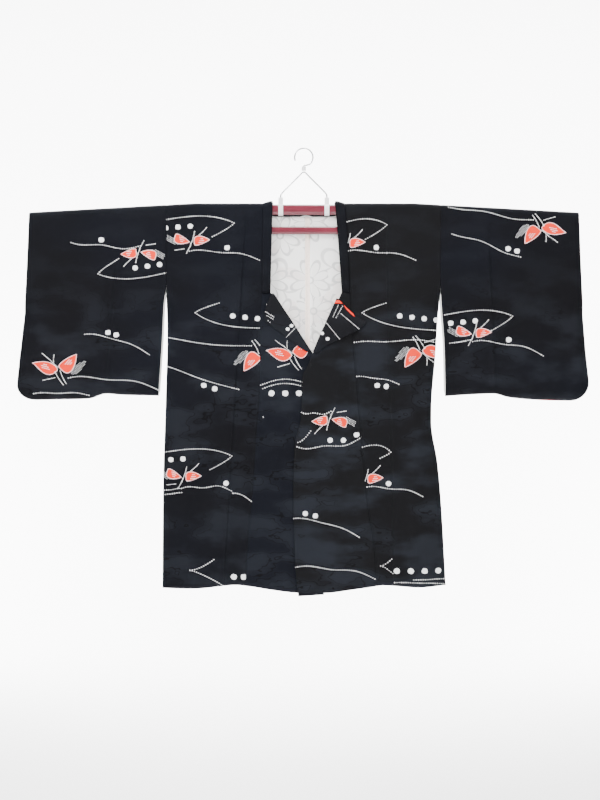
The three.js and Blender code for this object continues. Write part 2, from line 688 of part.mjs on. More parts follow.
function buildBail(hanger) {
  const lugTop = BAR_TOP + SEAM + RING.wall + RING.lug;
  const corner = 7;
  const bail = new THREE.CatmullRomCurve3(
    [
      [-RING.x, lugTop + SEAM], [-RING.x, lugTop + 5], [-RING.x + 5, lugTop + 12],
      [-corner, BAIL_TOP - 5], [0, BAIL_TOP], [corner, BAIL_TOP - 5],
      [RING.x - 5, lugTop + 12], [RING.x, lugTop + 5], [RING.x, lugTop + SEAM],
    ].map(([x, z]) => new THREE.Vector3(x, 0, z)),
    false, "centripetal",
  );
  add("bail_wire", tube(bail, WIRE, 26, 4), "wire", hanger);
  const collarZ = BAIL_TOP + WIRE + SEAM;
  const collar = new THREE.CylinderGeometry(COLLAR.radius, COLLAR.radius, COLLAR.tall, 20).rotateX(Math.PI / 2);
  add("hook_collar", collar, "band", hanger).position.z = collarZ + COLLAR.tall / 2;
  const from = collarZ + COLLAR.tall + 3 * SEAM;
  const centre = WIRE - HOOK_R;
  const arc = steps(13).map((t) => {
    const angle = mix(-0.9, 3.5, t);
    return new THREE.Vector3(HOOK_R * Math.cos(angle), 0, centre + HOOK_R * Math.sin(angle));
  });
  const hook = new THREE.CatmullRomCurve3(
    [new THREE.Vector3(0, 0, from), new THREE.Vector3(0.6, 0, from + 2.5), ...arc], false, "centripetal",
  );
  add("hook", tube(hook, WIRE, 32, 4), "wire", hanger);
}

buildBody("body_right", RIGHT);
buildBody("body_left", LEFT);
buildPanel("front_panel_right", RIGHT, UNDER_EDGE, ROLL_BACK.right, () => 0);
buildPanel("front_panel_left", LEFT, TOP_EDGE, ROLL_BACK.left, lapProud);
buildFacing();
buildLapel("lapel_right", RIGHT_LAPEL, () => 0);
buildLapel("lapel_left", LEFT_LAPEL, lapProud);
buildNeckBand();
buildLining("lining_right", RIGHT);
buildLining("lining_left", LEFT);
buildSleeve("sleeve_right", RIGHT_SLEEVE);
buildSleeve("sleeve_left", LEFT_SLEEVE);
buildFuriLining("sleeve_lining_right", RIGHT_SLEEVE);
buildFuriLining("sleeve_lining_left", LEFT_SLEEVE);
buildLoop();
buildHanger();

export default coat;
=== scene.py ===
"""Dress a women's hip-length kimono coat that hangs on a two-bar hanger.

Every length of cloth is a thin shell on the form of its solid. Its pattern is cut into the
mesh, so each motif ends at a seam as printed cloth does. Work is in millimetres on the cloth,
"down" from the top of the shoulder and "run" along the cloth over the shoulder fold, and goes
to metres when a mesh is made.
"""

import logging
import math
import random
from collections.abc import Callable
from dataclasses import dataclass, field
from enum import Enum

import bpy
import numpy as np
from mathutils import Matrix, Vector
from mathutils.geometry import delaunay_2d_cdt


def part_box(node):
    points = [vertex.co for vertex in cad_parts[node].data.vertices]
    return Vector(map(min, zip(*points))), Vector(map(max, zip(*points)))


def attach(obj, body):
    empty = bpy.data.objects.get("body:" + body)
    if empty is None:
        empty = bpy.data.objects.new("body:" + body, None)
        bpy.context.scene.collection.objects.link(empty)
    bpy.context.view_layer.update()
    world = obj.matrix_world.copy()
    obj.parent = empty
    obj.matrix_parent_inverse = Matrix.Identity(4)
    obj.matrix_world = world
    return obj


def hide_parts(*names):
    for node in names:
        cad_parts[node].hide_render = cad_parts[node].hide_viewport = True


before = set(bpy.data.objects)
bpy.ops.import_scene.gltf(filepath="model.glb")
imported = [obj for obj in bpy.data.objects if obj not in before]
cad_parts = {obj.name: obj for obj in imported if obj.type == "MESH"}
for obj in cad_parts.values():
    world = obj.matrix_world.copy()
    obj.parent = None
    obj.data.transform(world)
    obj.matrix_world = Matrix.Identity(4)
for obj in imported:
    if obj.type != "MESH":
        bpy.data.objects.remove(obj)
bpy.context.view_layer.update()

LOG = logging.getLogger("coat")
MM = 0.001
Points = np.ndarray


class Half(Enum):
    """The wearer's half of the coat, with the sign of its X."""

    RIGHT = -1
    LEFT = 1


class Layer(Enum):
    """Front or back of the coat, with the sign of its Y."""

    FRONT = -1
    BACK = 1


class Ink(Enum):
    """What a stretch of cloth is printed or dyed with; the value is its material slot."""

    GROUND = 0
    WHITE = 1
    CORAL = 2
    RIM = 3
    GREY = 4
    LINING = 5


# Shader maths


class Wire:
    """A socket of a node tree on which maths is written as Python expressions."""

    def __init__(self, graph: "Graph", socket: bpy.types.NodeSocket) -> None:
        """Wrap one output socket of the graph."""
        self.graph = graph
        self.socket = socket

    def maths(self, operation: str, *others: "Wire | float", first: bool = True) -> "Wire":
        """Add a Math node.

        Args:
            operation: the node's operation.
            others: the other values.
            first: whether this wire is the first value.

        Returns:
            The node's result.
        """
        values = [self, *others] if first else [*others, self]
        inputs = dict(enumerate(values))
        return self.graph.add("ShaderNodeMath", {"operation": operation}, inputs, "Value")

    def __add__(self, other: "Wire | float") -> "Wire":
        """Return the sum."""
        return self.maths("ADD", other)

    __radd__ = __add__

    def __mul__(self, other: "Wire | float") -> "Wire":
        """Return the product."""
        return self.maths("MULTIPLY", other)

    __rmul__ = __mul__

    def __sub__(self, other: "Wire | float") -> "Wire":
        """Return the difference."""
        return self.maths("SUBTRACT", other)

    def __rsub__(self, other: "Wire | float") -> "Wire":
        """Return the reflected difference."""
        return self.maths("SUBTRACT", other, first=False)

    def __truediv__(self, other: "Wire | float") -> "Wire":
        """Return the quotient."""
        return self.maths("DIVIDE", other)

    def __pow__(self, other: "Wire | float") -> "Wire":
        """Return the power."""
        return self.maths("POWER", other)

    def band(self, low: float, high: float) -> "Wire":
        """Return a soft step from 0 at low to 1 at high.

        Args:
            low: where the step starts.
            high: where it ends.
        """
        settings = {"interpolation_type": "SMOOTHSTEP", "clamp": True}
        inputs = {"Value": self, "From Min": low, "From Max": high, "To Min": 0.0, "To Max": 1.0}
        return self.graph.add("ShaderNodeMapRange", settings, inputs, "Result")


class Graph:
    """The node tree of one material, with one method that adds any node."""

    def __init__(self, name: str) -> None:
        """Make an empty material with its output."""
        self.material = bpy.data.materials.new(name)
        self.material.use_nodes = True
        self.tree = self.material.node_tree
        self.tree.nodes.clear()

    def add(self, kind: str, settings: dict, inputs: dict, output: str | int) -> Wire:
        """Add a node, set it up and give one of its outputs.

        Args:
            kind: the node's type.
            settings: what the node is set to before its sockets.
            inputs: values or wires by socket name or number.
            output: the output's name or number.

        Returns:
            The output, wrapped.
        """
        node = self.tree.nodes.new(kind)
        for key, value in settings.items():
            setattr(node, key, value)
        for key, value in inputs.items():
            socket = node.inputs[key]
            if isinstance(value, Wire):
                self.tree.links.new(value.socket, socket)
            elif value is not None:
                socket.default_value = value
        return Wire(self, node.outputs[output])

    def place(self) -> Wire:
        """Return the object coordinates, which are the frame's own metres."""
        return self.add("ShaderNodeTexCoord", {}, {}, "Object")

    def axis(self, vector: Wire, name: str) -> Wire:
        """Return the X, Y or Z of a vector.

        Args:
            vector: the vector.
            name: the letter of the axis.
        """
        return self.add("ShaderNodeSeparateXYZ", {}, {"Vector": vector}, name)

    def stretched(self, vector: Wire, scale: tuple[float, float, float]) -> Wire:
        """Return a vector times a scale.

        Args:
            vector: the vector.
            scale: factor along each axis.
        """
        return self.add("ShaderNodeVectorMath", {"operation": "MULTIPLY"}, {0: vector, 1: scale}, "Vector")

    def noise(self, vector: Wire, scale: float, detail: float = 3.0, rough: float = 0.55) -> Wire:
        """Return a noise value about 0.5.

        Args:
            vector: where it is read.
            scale: features per metre.
            detail: octaves.
            rough: how strong the finer octaves are.
        """
        inputs = {"Vector": vector, "Scale": scale, "Detail": detail, "Roughness": rough}
        return self.add("ShaderNodeTexNoise", {}, inputs, "Fac")

    def blend(self, amount: Wire | float, low: tuple | Wire, high: tuple | Wire) -> Wire:
        """Return a colour between two.

        Args:
            amount: 0 for low, 1 for high.
            low: colour at 0.
            high: colour at 1.
        """
        colours = [(*c, 1.0) if isinstance(c, tuple) else c for c in (low, high)]
        inputs = {0: amount, 6: colours[0], 7: colours[1]}
        return self.add("ShaderNodeMix", {"data_type": "RGBA"}, inputs, 2)

    def bump(self, height: Wire, strength: float, distance: float) -> Wire:
        """Return a normal raised by a height.

        Args:
            height: the height, 0 to 1.
            strength: how much of it shows.
            distance: how deep 1 is, in metres.
        """
        inputs = {"Strength": strength, "Distance": distance, "Height": height}
        return self.add("ShaderNodeBump", {}, inputs, "Normal")

    def finish(self, **inputs: object) -> bpy.types.Material:
        """Close the tree with a Principled shader.

        Args:
            inputs: its sockets, with underscores for spaces.

        Returns:
            The material.
        """
        named = {key.replace("_", " "): value for key, value in inputs.items()}
        shader = self.add("ShaderNodeBsdfPrincipled", {}, named, "BSDF")
        self.add_output(shader)
        return self.material

    def add_output(self, shader: Wire) -> None:
        """Link the shader to the material's output.

        Args:
            shader: the shader.
        """
        node = self.tree.nodes.new("ShaderNodeOutputMaterial")
        self.tree.links.new(shader.socket, node.inputs["Surface"])


# Finishes


@dataclass(frozen=True)
class FiguredSilk:
    """Black figured silk with clouds woven tone on tone; its navy patches and the clouds' lighter tone are
    painted sheen.

    Each panel has its own copy of the silk, so the painted navy and cloud sheen differs between the panels.
    """

    name: str = "figured_silk"
    navy_sheen_share: float = 0.45
    cloud_sheen_share: float = 0.66
    ground: tuple[float, float, float] = (0.0029, 0.0029, 0.0038)
    navy_sheen: tuple[float, float, float] = (0.0031, 0.0037, 0.0062)
    cloud_sheen: tuple[float, float, float] = (0.0104, 0.0122, 0.0166)
    clouds_per_metre: float = 8.5
    ribs_per_metre: float = 2600.0
    crepe_per_metre: float = 620.0
    line_darkness: float = 0.45

    def make(self) -> bpy.types.Material:
        """Return the material."""
        g = Graph(self.name)
        at = g.place()
        drift = g.noise(g.stretched(at, (1.0, 1.0, 1.6)), 2.1, 2.0)
        # Painted sheen: navy patches over the black ground.
        navy_sheen = (drift + self.navy_sheen_share).band(0.78, 1.2)
        curl = g.noise(g.stretched(at, (1.0, 1.0, 2.2)), self.clouds_per_metre, 3.0, 0.5)
        drawn = g.noise(at, 4.3, 1.0).band(0.42, 0.5)
        reach = (g.axis(at, "Z") * -1.0).band(0.24, 0.52) * 0.75 + 0.25
        # The woven clouds, lightened as painted sheen, which reach makes stronger lower down.
        haze = (curl.band(0.4, 0.66) + drift * 0.15) * reach
        lines = 1 - (curl - 0.5).maths("ABSOLUTE").band(0.002, 0.008)
        inner = 1 - (curl - 0.58).maths("ABSOLUTE").band(0.001, 0.006)
        outline = lines.maths("MAXIMUM", inner) * reach * drawn
        ribs = (g.axis(at, "Z") * self.ribs_per_metre).maths("SINE") * 0.5 + 0.5
        crepe = g.noise(at, self.crepe_per_metre, 2.0)
        base = g.blend(navy_sheen, self.ground, self.navy_sheen)
        colour = g.blend(haze * (ribs * 0.2 + 0.7) * self.cloud_sheen_share, base, self.cloud_sheen)
        dark = tuple(c * self.line_darkness for c in self.ground)
        rough = 0.76 - haze * 0.12 + crepe * 0.08
        height = crepe * 0.7 + ribs * 0.2 + haze * 0.25 - outline * 0.3
        return g.finish(
            Base_Color=g.blend(outline * 0.85, colour, dark), Roughness=rough,
            Normal=g.bump(height, 0.35, 0.0004), Specular_IOR_Level=0.07,
        )


@dataclass(frozen=True)
class TiedDye:
    """Cloth left pale or dyed between ties, grainy at its rims."""

    name: str
    pale: tuple[float, float, float]
    deep: tuple[float, float, float]
    grain: float = 900.0
    mottling: float = 260.0

    def make(self) -> bpy.types.Material:
        """Return the material."""
        g = Graph(self.name)
        at = g.place()
        mottle = g.noise(at, self.mottling, 3.0, 0.6)
        fine = g.noise(at, self.grain, 2.0)
        amount = (mottle * 0.6 + fine * 0.5).band(0.42, 0.72)
        height = mottle * 0.6 + fine * 0.4
        return g.finish(
            Base_Color=g.blend(amount, self.pale, self.deep), Roughness=0.72 + fine * 0.12,
            Normal=g.bump(height, 0.4, 0.0005), Specular_IOR_Level=0.3,
        )


@dataclass(frozen=True)
class FlowerLining:
    """Off-white lining silk with large five-petalled flowers woven tone on tone."""

    ground: tuple[float, float, float] = (0.95, 0.94, 0.92)
    figure: tuple[float, float, float] = (0.52, 0.51, 0.51)
    blush: tuple[float, float, float] = (0.80, 0.71, 0.69)
    across: float = 9.5
    petals: float = 8.0
    behind_petals: float = 5.0
    petal_rise: float = 0.26
    heart: float = 0.2

    def make(self) -> bpy.types.Material:
        """Return the material."""
        g = Graph("flower_lining")
        at = g.place()
        lines, within = self.flowers(g, g.stretched(at, (1.0, 0.0, 1.0)), self.petals)
        more, _ = self.flowers(g, g.stretched(at, (-0.8, 0.0, -0.8)), self.behind_petals)
        lines = lines.maths("MAXIMUM", more * (1 - within) * 0.8)
        blush = g.noise(g.stretched(at, (1.0, 1.0, 2.0)), 7.0, 2.0).band(0.54, 0.57)
        fine = g.noise(at, 1100.0, 2.0)
        base = g.blend(blush * 0.5, self.ground, self.blush)
        colour = g.blend(lines * 0.9, g.blend(within * 0.1, base, self.figure), self.figure)
        return g.finish(
            Base_Color=colour, Roughness=0.55 - within * 0.08 + fine * 0.1,
            Normal=g.bump(lines * 0.5 + within * 0.4 + fine * 0.25, 0.25, 0.0004),
            Sheen_Weight=0.1, Sheen_Roughness=0.4,
        )

    def flowers(self, g: Graph, flat: Wire, petals: float) -> tuple[Wire, Wire]:
        """Return the drawn lines of a field of flowers, and their inside.

        Args:
            g: the graph.
            flat: where they are read, flat on the back.
            petals: how many petals a flower has.
        """
        settings = {"voronoi_dimensions": "3D", "feature": "F1"}
        inputs = {"Vector": flat, "Scale": self.across, "Randomness": 0.55}
        centre = g.add("ShaderNodeTexVoronoi", settings, inputs, "Position")
        away = g.add("ShaderNodeVectorMath", {"operation": "SUBTRACT"}, {0: flat, 1: centre}, "Vector")
        x, z = g.axis(away, "X"), g.axis(away, "Z")
        radius = ((x * x + z * z) ** 0.5) * self.across
        angle = z.maths("ARCTAN2", x)
        lobes = (angle * (petals / 2)).maths("SINE").maths("ABSOLUTE") ** 0.8
        edge = lobes * self.petal_rise + self.heart
        from_edge = (radius - edge).maths("ABSOLUTE")
        outline = 1 - from_edge.band(0.022, 0.048)
        vein = (1 - lobes.band(0.1, 0.3)) * (1 - radius.band(0.2, 0.26)) * radius.band(0.07, 0.1)
        eye = 1 - (radius - 0.07).maths("ABSOLUTE").band(0.012, 0.026)
        within = 1 - (radius - edge).band(-0.02, 0.01)
        return outline.maths("MAXIMUM", vein).maths("MAXIMUM", eye), within


@dataclass(frozen=True)
class PlainSilk:
    """Plain pale silk of the centre strip, the sleeve lining and the cord."""

    name: str
    tint: tuple[float, float, float]

    def make(self) -> bpy.types.Material:
        """Return the material."""
        g = Graph(self.name)
        at = g.place()
        slub = g.noise(g.stretched(at, (4.0, 4.0, 1.0)), 140.0, 3.0)
        fine = g.noise(at, 1300.0, 2.0)
        shade = tuple(c * 0.86 for c in self.tint)
        return g.finish(
            Base_Color=g.blend(slub.band(0.35, 0.7), self.tint, shade), Roughness=0.55 + fine * 0.15,
            Normal=g.bump(fine * 0.6 + slub * 0.4, 0.3, 0.0004), Sheen_Weight=0.1,
        )


@dataclass(frozen=True)
class Moulded:
    """Moulded plastic with a faint flow and rubbed patches."""

    name: str
    tint: tuple[float, float, float]
    worn: tuple[float, float, float]
    gloss: float

    def make(self) -> bpy.types.Material:
        """Return the material."""
        g = Graph(self.name)
        at = g.place()
        flow = g.noise(g.stretched(at, (0.4, 2.0, 2.0)), 60.0, 3.0)
        rub = g.noise(at, 300.0, 4.0, 0.65).band(0.55, 0.8)
        return g.finish(
            Base_Color=g.blend(flow.band(0.35, 0.75) * 0.5 + rub * 0.3, self.tint, self.worn),
            Roughness=self.gloss + rub * 0.14 + flow * 0.05,
            Normal=g.bump(flow, 0.12, 0.0004), Coat_Weight=0.6, Coat_Roughness=0.06,
        )


@dataclass(frozen=True)
class PlatedWire:
    """Plated steel wire, drawn lengthways."""

    tint: tuple[float, float, float] = (0.62, 0.63, 0.65)

    def make(self) -> bpy.types.Material:
        """Return the material."""
        g = Graph("plated_wire")
        at = g.place()
        drawn = g.noise(g.stretched(at, (1.0, 8.0, 1.0)), 400.0, 2.0)
        dull = g.noise(at, 90.0, 3.0).band(0.45, 0.7)
        dark = tuple(c * 0.6 for c in self.tint)
        return g.finish(
            Base_Color=g.blend(dull, self.tint, dark), Metallic=1.0,
            Roughness=0.2 + dull * 0.18 + drawn * 0.06, Normal=g.bump(drawn, 0.1, 0.0002),
        )


@dataclass(frozen=True)
class StudioPaper:
    """Plain pale paper of the floor and backdrop."""

    tint: tuple[float, float, float] = (0.87, 0.87, 0.87)

    def make(self) -> bpy.types.Material:
        """Return the material."""
        g = Graph("studio_paper")
        tooth = g.noise(g.place(), 40.0, 3.0)
        shade = tuple(c * 0.985 for c in self.tint)
        return g.finish(Base_Color=g.blend(tooth, self.tint, shade), Roughness=0.9)


class Finishes:
    """All materials of the coat, its hanger and the stage."""

    def __init__(self) -> None:
        """Make each finish once."""
        self.silk = FiguredSilk().make()
        # Copies for single panels, each with its own painted sheen: navy and cloud shares, and on the lapel,
        # the left side and the lapped front a lighter ground, also painted sheen.
        self.under_silk = FiguredSilk("figured_silk_under", 0.7, 0.75).make()
        self.lapel_silk = FiguredSilk("figured_silk_lapel", 0.35, 0.5, (0.0056, 0.0056, 0.0068)).make()
        self.side_silk = FiguredSilk("figured_silk_side", 0.3, 0.9, (0.0040, 0.0040, 0.0046)).make()
        self.over_silk = FiguredSilk("figured_silk_over", 0.2, 1.0, (0.0042, 0.0042, 0.0047)).make()
        self.white = TiedDye("tied_white", (0.90, 0.90, 0.89), (0.72, 0.72, 0.73)).make()
        self.coral = TiedDye("coral_dye", (0.74, 0.022, 0.003), (0.64, 0.016, 0.002)).make()
        self.rim = TiedDye("coral_rim", (0.80, 0.055, 0.02), (0.72, 0.036, 0.012)).make()
        self.grey = TiedDye("tied_grey", (0.66, 0.66, 0.67), (0.42, 0.42, 0.43)).make()
        self.lining = FlowerLining().make()
        self.strip = PlainSilk("lining_strip", (0.97, 0.82, 0.73)).make()
        self.hem_silk = PlainSilk("sleeve_lining_silk", (0.84, 0.84, 0.82)).make()
        self.cord = PlainSilk("loop_cord", (0.84, 0.84, 0.82)).make()
        self.maroon = Moulded("maroon_plastic", (0.105, 0.006, 0.017), (0.18, 0.016, 0.034), 0.12).make()
        self.white_plastic = Moulded("white_plastic", (0.82, 0.82, 0.83), (0.7, 0.7, 0.7), 0.34).make()
        self.wire = PlatedWire().make()
        self.paper = StudioPaper().make()

    def coat(self, silk: bpy.types.Material | None = None) -> list[bpy.types.Material]:
        """Return the slots of a printed length of coat cloth, in the order of Ink."""
        return [silk or self.silk, self.white, self.coral, self.rim, self.grey, self.lining]


# Cut of the coat


class Edge:
    """A smooth edge through the rows of a short table."""

    def __init__(self, rows: list[tuple[float, float]], samples: int = 600) -> None:
        """Work out the edge between the rows without overshoot.

        Args:
            rows: pairs of a key and a value, keys rising.
            samples: how finely the edge is worked out.
        """
        keys, values = np.array(rows, float).T
        spans = np.diff(keys)
        slopes = np.diff(values) / spans
        tangent = np.empty(len(keys))
        tangent[0], tangent[-1] = slopes[0], slopes[-1]
        before, after = slopes[:-1], slopes[1:]
        same = before * after > 0
        safe = np.where(same, before + after, 1.0)
        tangent[1:-1] = np.where(same, 2 * before * after / safe, 0.0)
        self.keys = np.linspace(keys[0], keys[-1], samples)
        i = np.clip(np.searchsorted(keys, self.keys, "right") - 1, 0, len(spans) - 1)
        t = (self.keys - keys[i]) / spans[i]
        h = spans[i]
        self.values = (
            (1 + 2 * t) * (1 - t) ** 2 * values[i]
            + t * (1 - t) ** 2 * h * tangent[i]
            + t**2 * (3 - 2 * t) * values[i + 1]
            + t**2 * (t - 1) * h * tangent[i + 1]
        )

    def __call__(self, key: Points | float) -> Points:
        """Return the edge's value at a key."""
        return np.interp(key, self.keys, self.values)


def smooth(t: Points | float) -> Points:
    """Return a soft step from 0 to 1."""
    u = np.clip(t, 0, 1)
    return u * u * (3 - 2 * u)


@dataclass
class Fold:
    """A soft trough or ridge that runs down one layer of the cloth.

    Sizes in millimetres; a ridge stands out and has a positive rise.
    """

    layer: Layer
    top_x: float
    foot_x: float
    start: float
    end: float
    width: float
    rise: float

    def at(self, x: Points, down: Points, layer: Points) -> Points:
        """Return how far the fold moves the cloth outwards.

        Args:
            x: across.
            down: below the shoulder.
            layer: -1 on the front and 1 on the back.
        """
        t = (down - self.start) / (self.end - self.start)
        middle = self.top_x + (self.foot_x - self.top_x) * t
        across = np.exp(-(((x - middle) / (self.width * (0.6 + 0.5 * np.clip(t, 0, 1)))) ** 2))
        fade = smooth(t * 4) * smooth((1.15 - t) * 4)
        return self.rise * across * fade * (layer == self.layer.value)


@dataclass
class HalfCut:
    """The edges of one half of the body, x away from the middle.

    Crease gives the pressed edge of the strip beside the front seam, at the top and the hem.
    """

    half: Half
    crease: tuple[float, float]
    side: Edge
    seam: Edge
    band_inner: Edge
    band_outer: Edge
    hem: Edge


@dataclass
class Cloth:
    """How the coat hangs: over the bar, then front and back spreading towards the hem."""

    shoulder_z: float = -129.0
    thickness: float = 2.0
    bend: float = 11.0
    spread: float = 0.018
    armhole: float = 190.0
    side_seam_from: float = 290.0
    softness: float = 85.0
    slope_from: float = 262.0
    slope: float = 0.0555
    neck_rise: float = 5.0
    back_hem: float = 905.0
    centre: float = 3.0
    overlap: float = 0.2
    band_half: float = 11.5
    band_back: float = 24.5
    band_corner: float = 20.0
    band_x: float = 85.5
    strip_depth: float = 2.2
    folds: list[Fold] = field(default_factory=list)

    def __post_init__(self) -> None:
        """Set up the two halves and the folds."""
        self.bent = self.bend * math.pi / 2
        self.right = HalfCut(
            Half.RIGHT,
            (136.0, 189.0),
            Edge([(0, 325), (192, 325), (308, 323), (466, 327), (676, 333), (940, 335)]),
            Edge([
                (0, 97), (211, 99), (277, 103), (443, 104), (560, 113), (660, 119), (796, 131), (940, 140),
            ]),
            Edge([(0, 74), (211, 79)]),
            Edge([(0, 97), (211, 98.7)]),
            Edge([
                (-340, 911), (-251, 910), (-188, 904), (-162, 902), (-120, 906), (-83, 912), (-15, 920),
                (60, 921),
            ]),
        )
        self.left = HalfCut(
            Half.LEFT,
            (195.0, 212.0),
            Edge([
                (0, 325), (190, 323), (273, 317), (353, 312), (494, 302), (518, 302), (617, 317), (721, 326),
                (940, 338),
            ]),
            Edge([
                (0, 97), (60, 102), (211, 109), (329, 116), (409, 123), (537, 134), (643, 143), (733, 153),
                (787, 163), (940, 174),
            ]),
            Edge([(0, 74), (60, 79), (211, 90)]),
            Edge([(0, 97), (60, 102), (211, 108.7)]),
            Edge([
                (-25, 920), (49, 920), (104, 914), (150, 908), (188, 903), (213, 904), (272, 908),
                (345, 903),
            ]),
        )
        f, b = Layer.FRONT, Layer.BACK
        self.folds = [
            Fold(f, -141, -194, 30, 905, 7, 1.6), Fold(f, 199, 216, 30, 905, 7, 1.6),
            Fold(f, -232, -268, 120, 905, 26, 2.2), Fold(f, -292, -300, 250, 905, 14, -1.6),
            Fold(f, 262, 282, 330, 905, 20, 2.6), Fold(f, 232, 246, 420, 905, 15, -2.0),
            Fold(f, -52, -74, 380, 920, 22, 1.5), Fold(f, 66, 96, 430, 920, 26, 1.6),
            Fold(f, 24, 40, 560, 920, 16, -1.2),
            Fold(b, -40, -58, 90, 905, 20, 2.4), Fold(b, -150, -172, 60, 905, 24, -2.4),
            Fold(b, 58, 70, 130, 905, 24, -2.2), Fold(b, 168, 196, 70, 905, 20, 2.6),
            Fold(b, -250, -262, 240, 905, 18, 2.4), Fold(b, 262, 270, 300, 905, 22, -2.0),
            Fold(b, 120, 132, 420, 905, 14, 1.6), Fold(b, -96, -112, 480, 905, 14, 1.6),
        ]

    def cut(self, half: Half) -> HalfCut:
        """Return one half of the body."""
        return self.right if half is Half.RIGHT else self.left

    def crown(self, x: Points | float) -> Points:
        """Return the height of the cloth's middle on the shoulder fold."""
        fall = self.slope * np.maximum(np.abs(x) - self.slope_from, 0)
        return self.shoulder_z - self.thickness / 2 - fall

    def run(self, x: Points | float, down: Points | float) -> Points:
        """Return the length of cloth from the shoulder fold to a depth below it."""
        return self.crown(x) - self.shoulder_z + down - self.bend + self.bent

    def down(self, x: Points, run: Points) -> Points:
        """Return the depth that a length of cloth from the shoulder fold reaches."""
        return np.abs(run) - self.crown(x) + self.shoulder_z + self.bend - self.bent

    def gap(self, x: Points, hang: Points) -> Points:
        """Return half the gap between front and back."""
        opened = self.bend + self.spread * hang
        depth = hang + self.bend
        side = np.where(x < self.centre, self.right.side(depth), self.left.side(depth))
        inward = np.clip((side - np.abs(x)) / self.softness, 0, 1)
        shut = self.thickness / 2 + 0.15
        closed = shut + (opened - shut) * (1 - (1 - inward) ** 2)
        amount = smooth((depth - self.armhole) / (self.side_seam_from - self.armhole))
        return opened + (closed - opened) * amount

    def seat(self, x: Points, run: Points, proud: Points | float = 0.0) -> Points:
        """Return points of the coat's body in metres.

        Args:
            x: across.
            run: along the cloth from the shoulder fold, negative on the front.
            proud: how far the points stand out of the cloth's middle.
        """
        layer = np.where(run < 0, -1, 1)
        reach = np.abs(run)
        angle = np.minimum(reach, self.bent) / self.bend
        hang = np.maximum(reach - self.bent, 0)
        inward = np.clip((325 - np.abs(x)) / 60, 0, 1)
        folds = sum(fold.at(x, hang + self.bend, layer) for fold in self.folds) * inward
        swell = self.hem_swell(x, hang) * inward - self.strip(x, hang + self.bend) * (layer < 0)
        out = np.where(hang > 0, self.gap(x, hang) + folds + swell, self.bend * np.sin(angle))
        out = out + proud * np.where(hang > 0, 1, np.sin(angle))
        rise = self.neck_rise * smooth((97 - np.abs(x)) / 23) * smooth(1 - reach / 40)
        z = self.crown(x) - self.bend * (1 - np.cos(angle)) - hang + rise
        z = z + proud * np.where(hang > 0, 0, np.cos(angle))
        return np.stack([x, layer * out, z], axis=1) * MM

    def crease_x(self, half: Half, down: Points) -> Points:
        """Return how far from the middle a half's pressed edge lies."""
        top, foot = self.cut(half).crease
        return top + (foot - top) * down / self.back_hem

    def strip(self, x: Points, down: Points) -> Points:
        """Return how much lower the strip between front seam and pressed edge lies."""
        sunk = np.zeros_like(x)
        for half in Half:
            cut, away = self.cut(half), x * half.value
            inside_seam = smooth((away - cut.seam(down)) / 2.5)
            inside_edge = smooth((self.crease_x(half, down) + 1 - away) / 2.5)
            sunk = sunk + inside_seam * inside_edge
        return self.strip_depth * sunk * smooth((down - 20) / 60)

    def hem_swell(self, x: Points, hang: Points) -> Points:
        """Return the slow, uneven swing of the cloth towards the hem."""
        swing = np.sin(x / 61 + 0.7) + 0.6 * np.sin(x / 29 - 1.1)
        return 0.9 * swing * smooth((hang - 380) / 520)


# Prints: motifs drawn by their own formulas


@dataclass
class Print:
    """One flat shape of a motif, as x and down, with its ink."""

    outline: Points
    ink: Ink
    rank: int


@dataclass
class Motif:
    """A motif placed on a layer of the coat.

    x and down place it, turn rotates it in degrees and size scales it.
    """

    x: float
    down: float
    turn: float = 0.0
    size: float = 1.0

    def spread(self, points: Points) -> Points:
        """Return the motif's own points, placed on the cloth."""
        a = math.radians(self.turn)
        turned = points @ np.array([[math.cos(a), math.sin(a)], [-math.sin(a), math.cos(a)]])
        return turned * self.size + (self.x, self.down)

    def prints(self, rng: random.Random) -> list[Print]:
        """Return the motif's shapes."""
        raise NotImplementedError

    def stitches(
        self, line: Points, rng: random.Random, pitch: float = 5.3, width: float = 1.45
    ) -> list[Print]:
        """Return a row of tied dots along a line.

        Args:
            line: points of the line on the cloth.
            rng: source of the small unevenness.
            pitch: from one dot to the next.
            width: half a dot's width.
        """
        steps = np.hypot(*np.diff(line, axis=0).T)
        along = np.concatenate([[0], np.cumsum(steps)])
        count = max(int(along[-1] / pitch), 1)
        made = []
        for i in range(count + 1):
            s = along[-1] * i / count
            centre = np.array([np.interp(s, along, line[:, k]) for k in (0, 1)])
            r = width * rng.uniform(0.78, 1.16)
            start = rng.uniform(0, 1)
            turn = (np.arange(5) + start) * math.tau / 5
            made.append(Print(centre + r * np.stack([np.cos(turn), np.sin(turn)], 1), Ink.WHITE, 5))
        return made

    def dot(self, centre: Points, radius: float, rng: random.Random) -> list[Print]:
        """Return a tied white spot with a ragged rim."""
        turn = np.arange(16) * math.tau / 16
        ragged = np.array([radius * rng.uniform(0.88, 1.06) for _ in turn])
        square = 1 / (np.abs(np.cos(turn)) ** 2.3 + np.abs(np.sin(turn)) ** 2.3) ** (1 / 2.3)
        ring = (ragged * square)[:, None] * np.stack([np.cos(turn), 0.94 * np.sin(turn)], 1) * 0.93
        return [Print(centre + ring, Ink.WHITE, 4)]


@dataclass
class Boat(Motif):
    """A hooked line of tied dots with round spots inside it; the tip points right."""

    reach: float = 160.0
    hook: float = 50.0
    spots: int = 3
    first: float = 88.0

    def prints(self, rng: random.Random) -> list[Print]:
        """Return the hooked line and its spots."""
        t = np.linspace(0, 1, 24)
        arm = np.stack([-self.reach * t, -13 * np.sin(math.pi * t**0.8) - 3 * t], 1)
        back = np.stack([-self.hook * t, 0.68 * self.hook * t**0.8], 1)
        made = self.stitches(self.spread(arm), rng) + self.stitches(self.spread(back), rng)
        for i in range(self.spots):
            local = np.array([[-self.first - 29 * i, 11.0 + 3 * i]])
            made += self.dot(self.spread(local)[0], 7.0, rng)
        return made


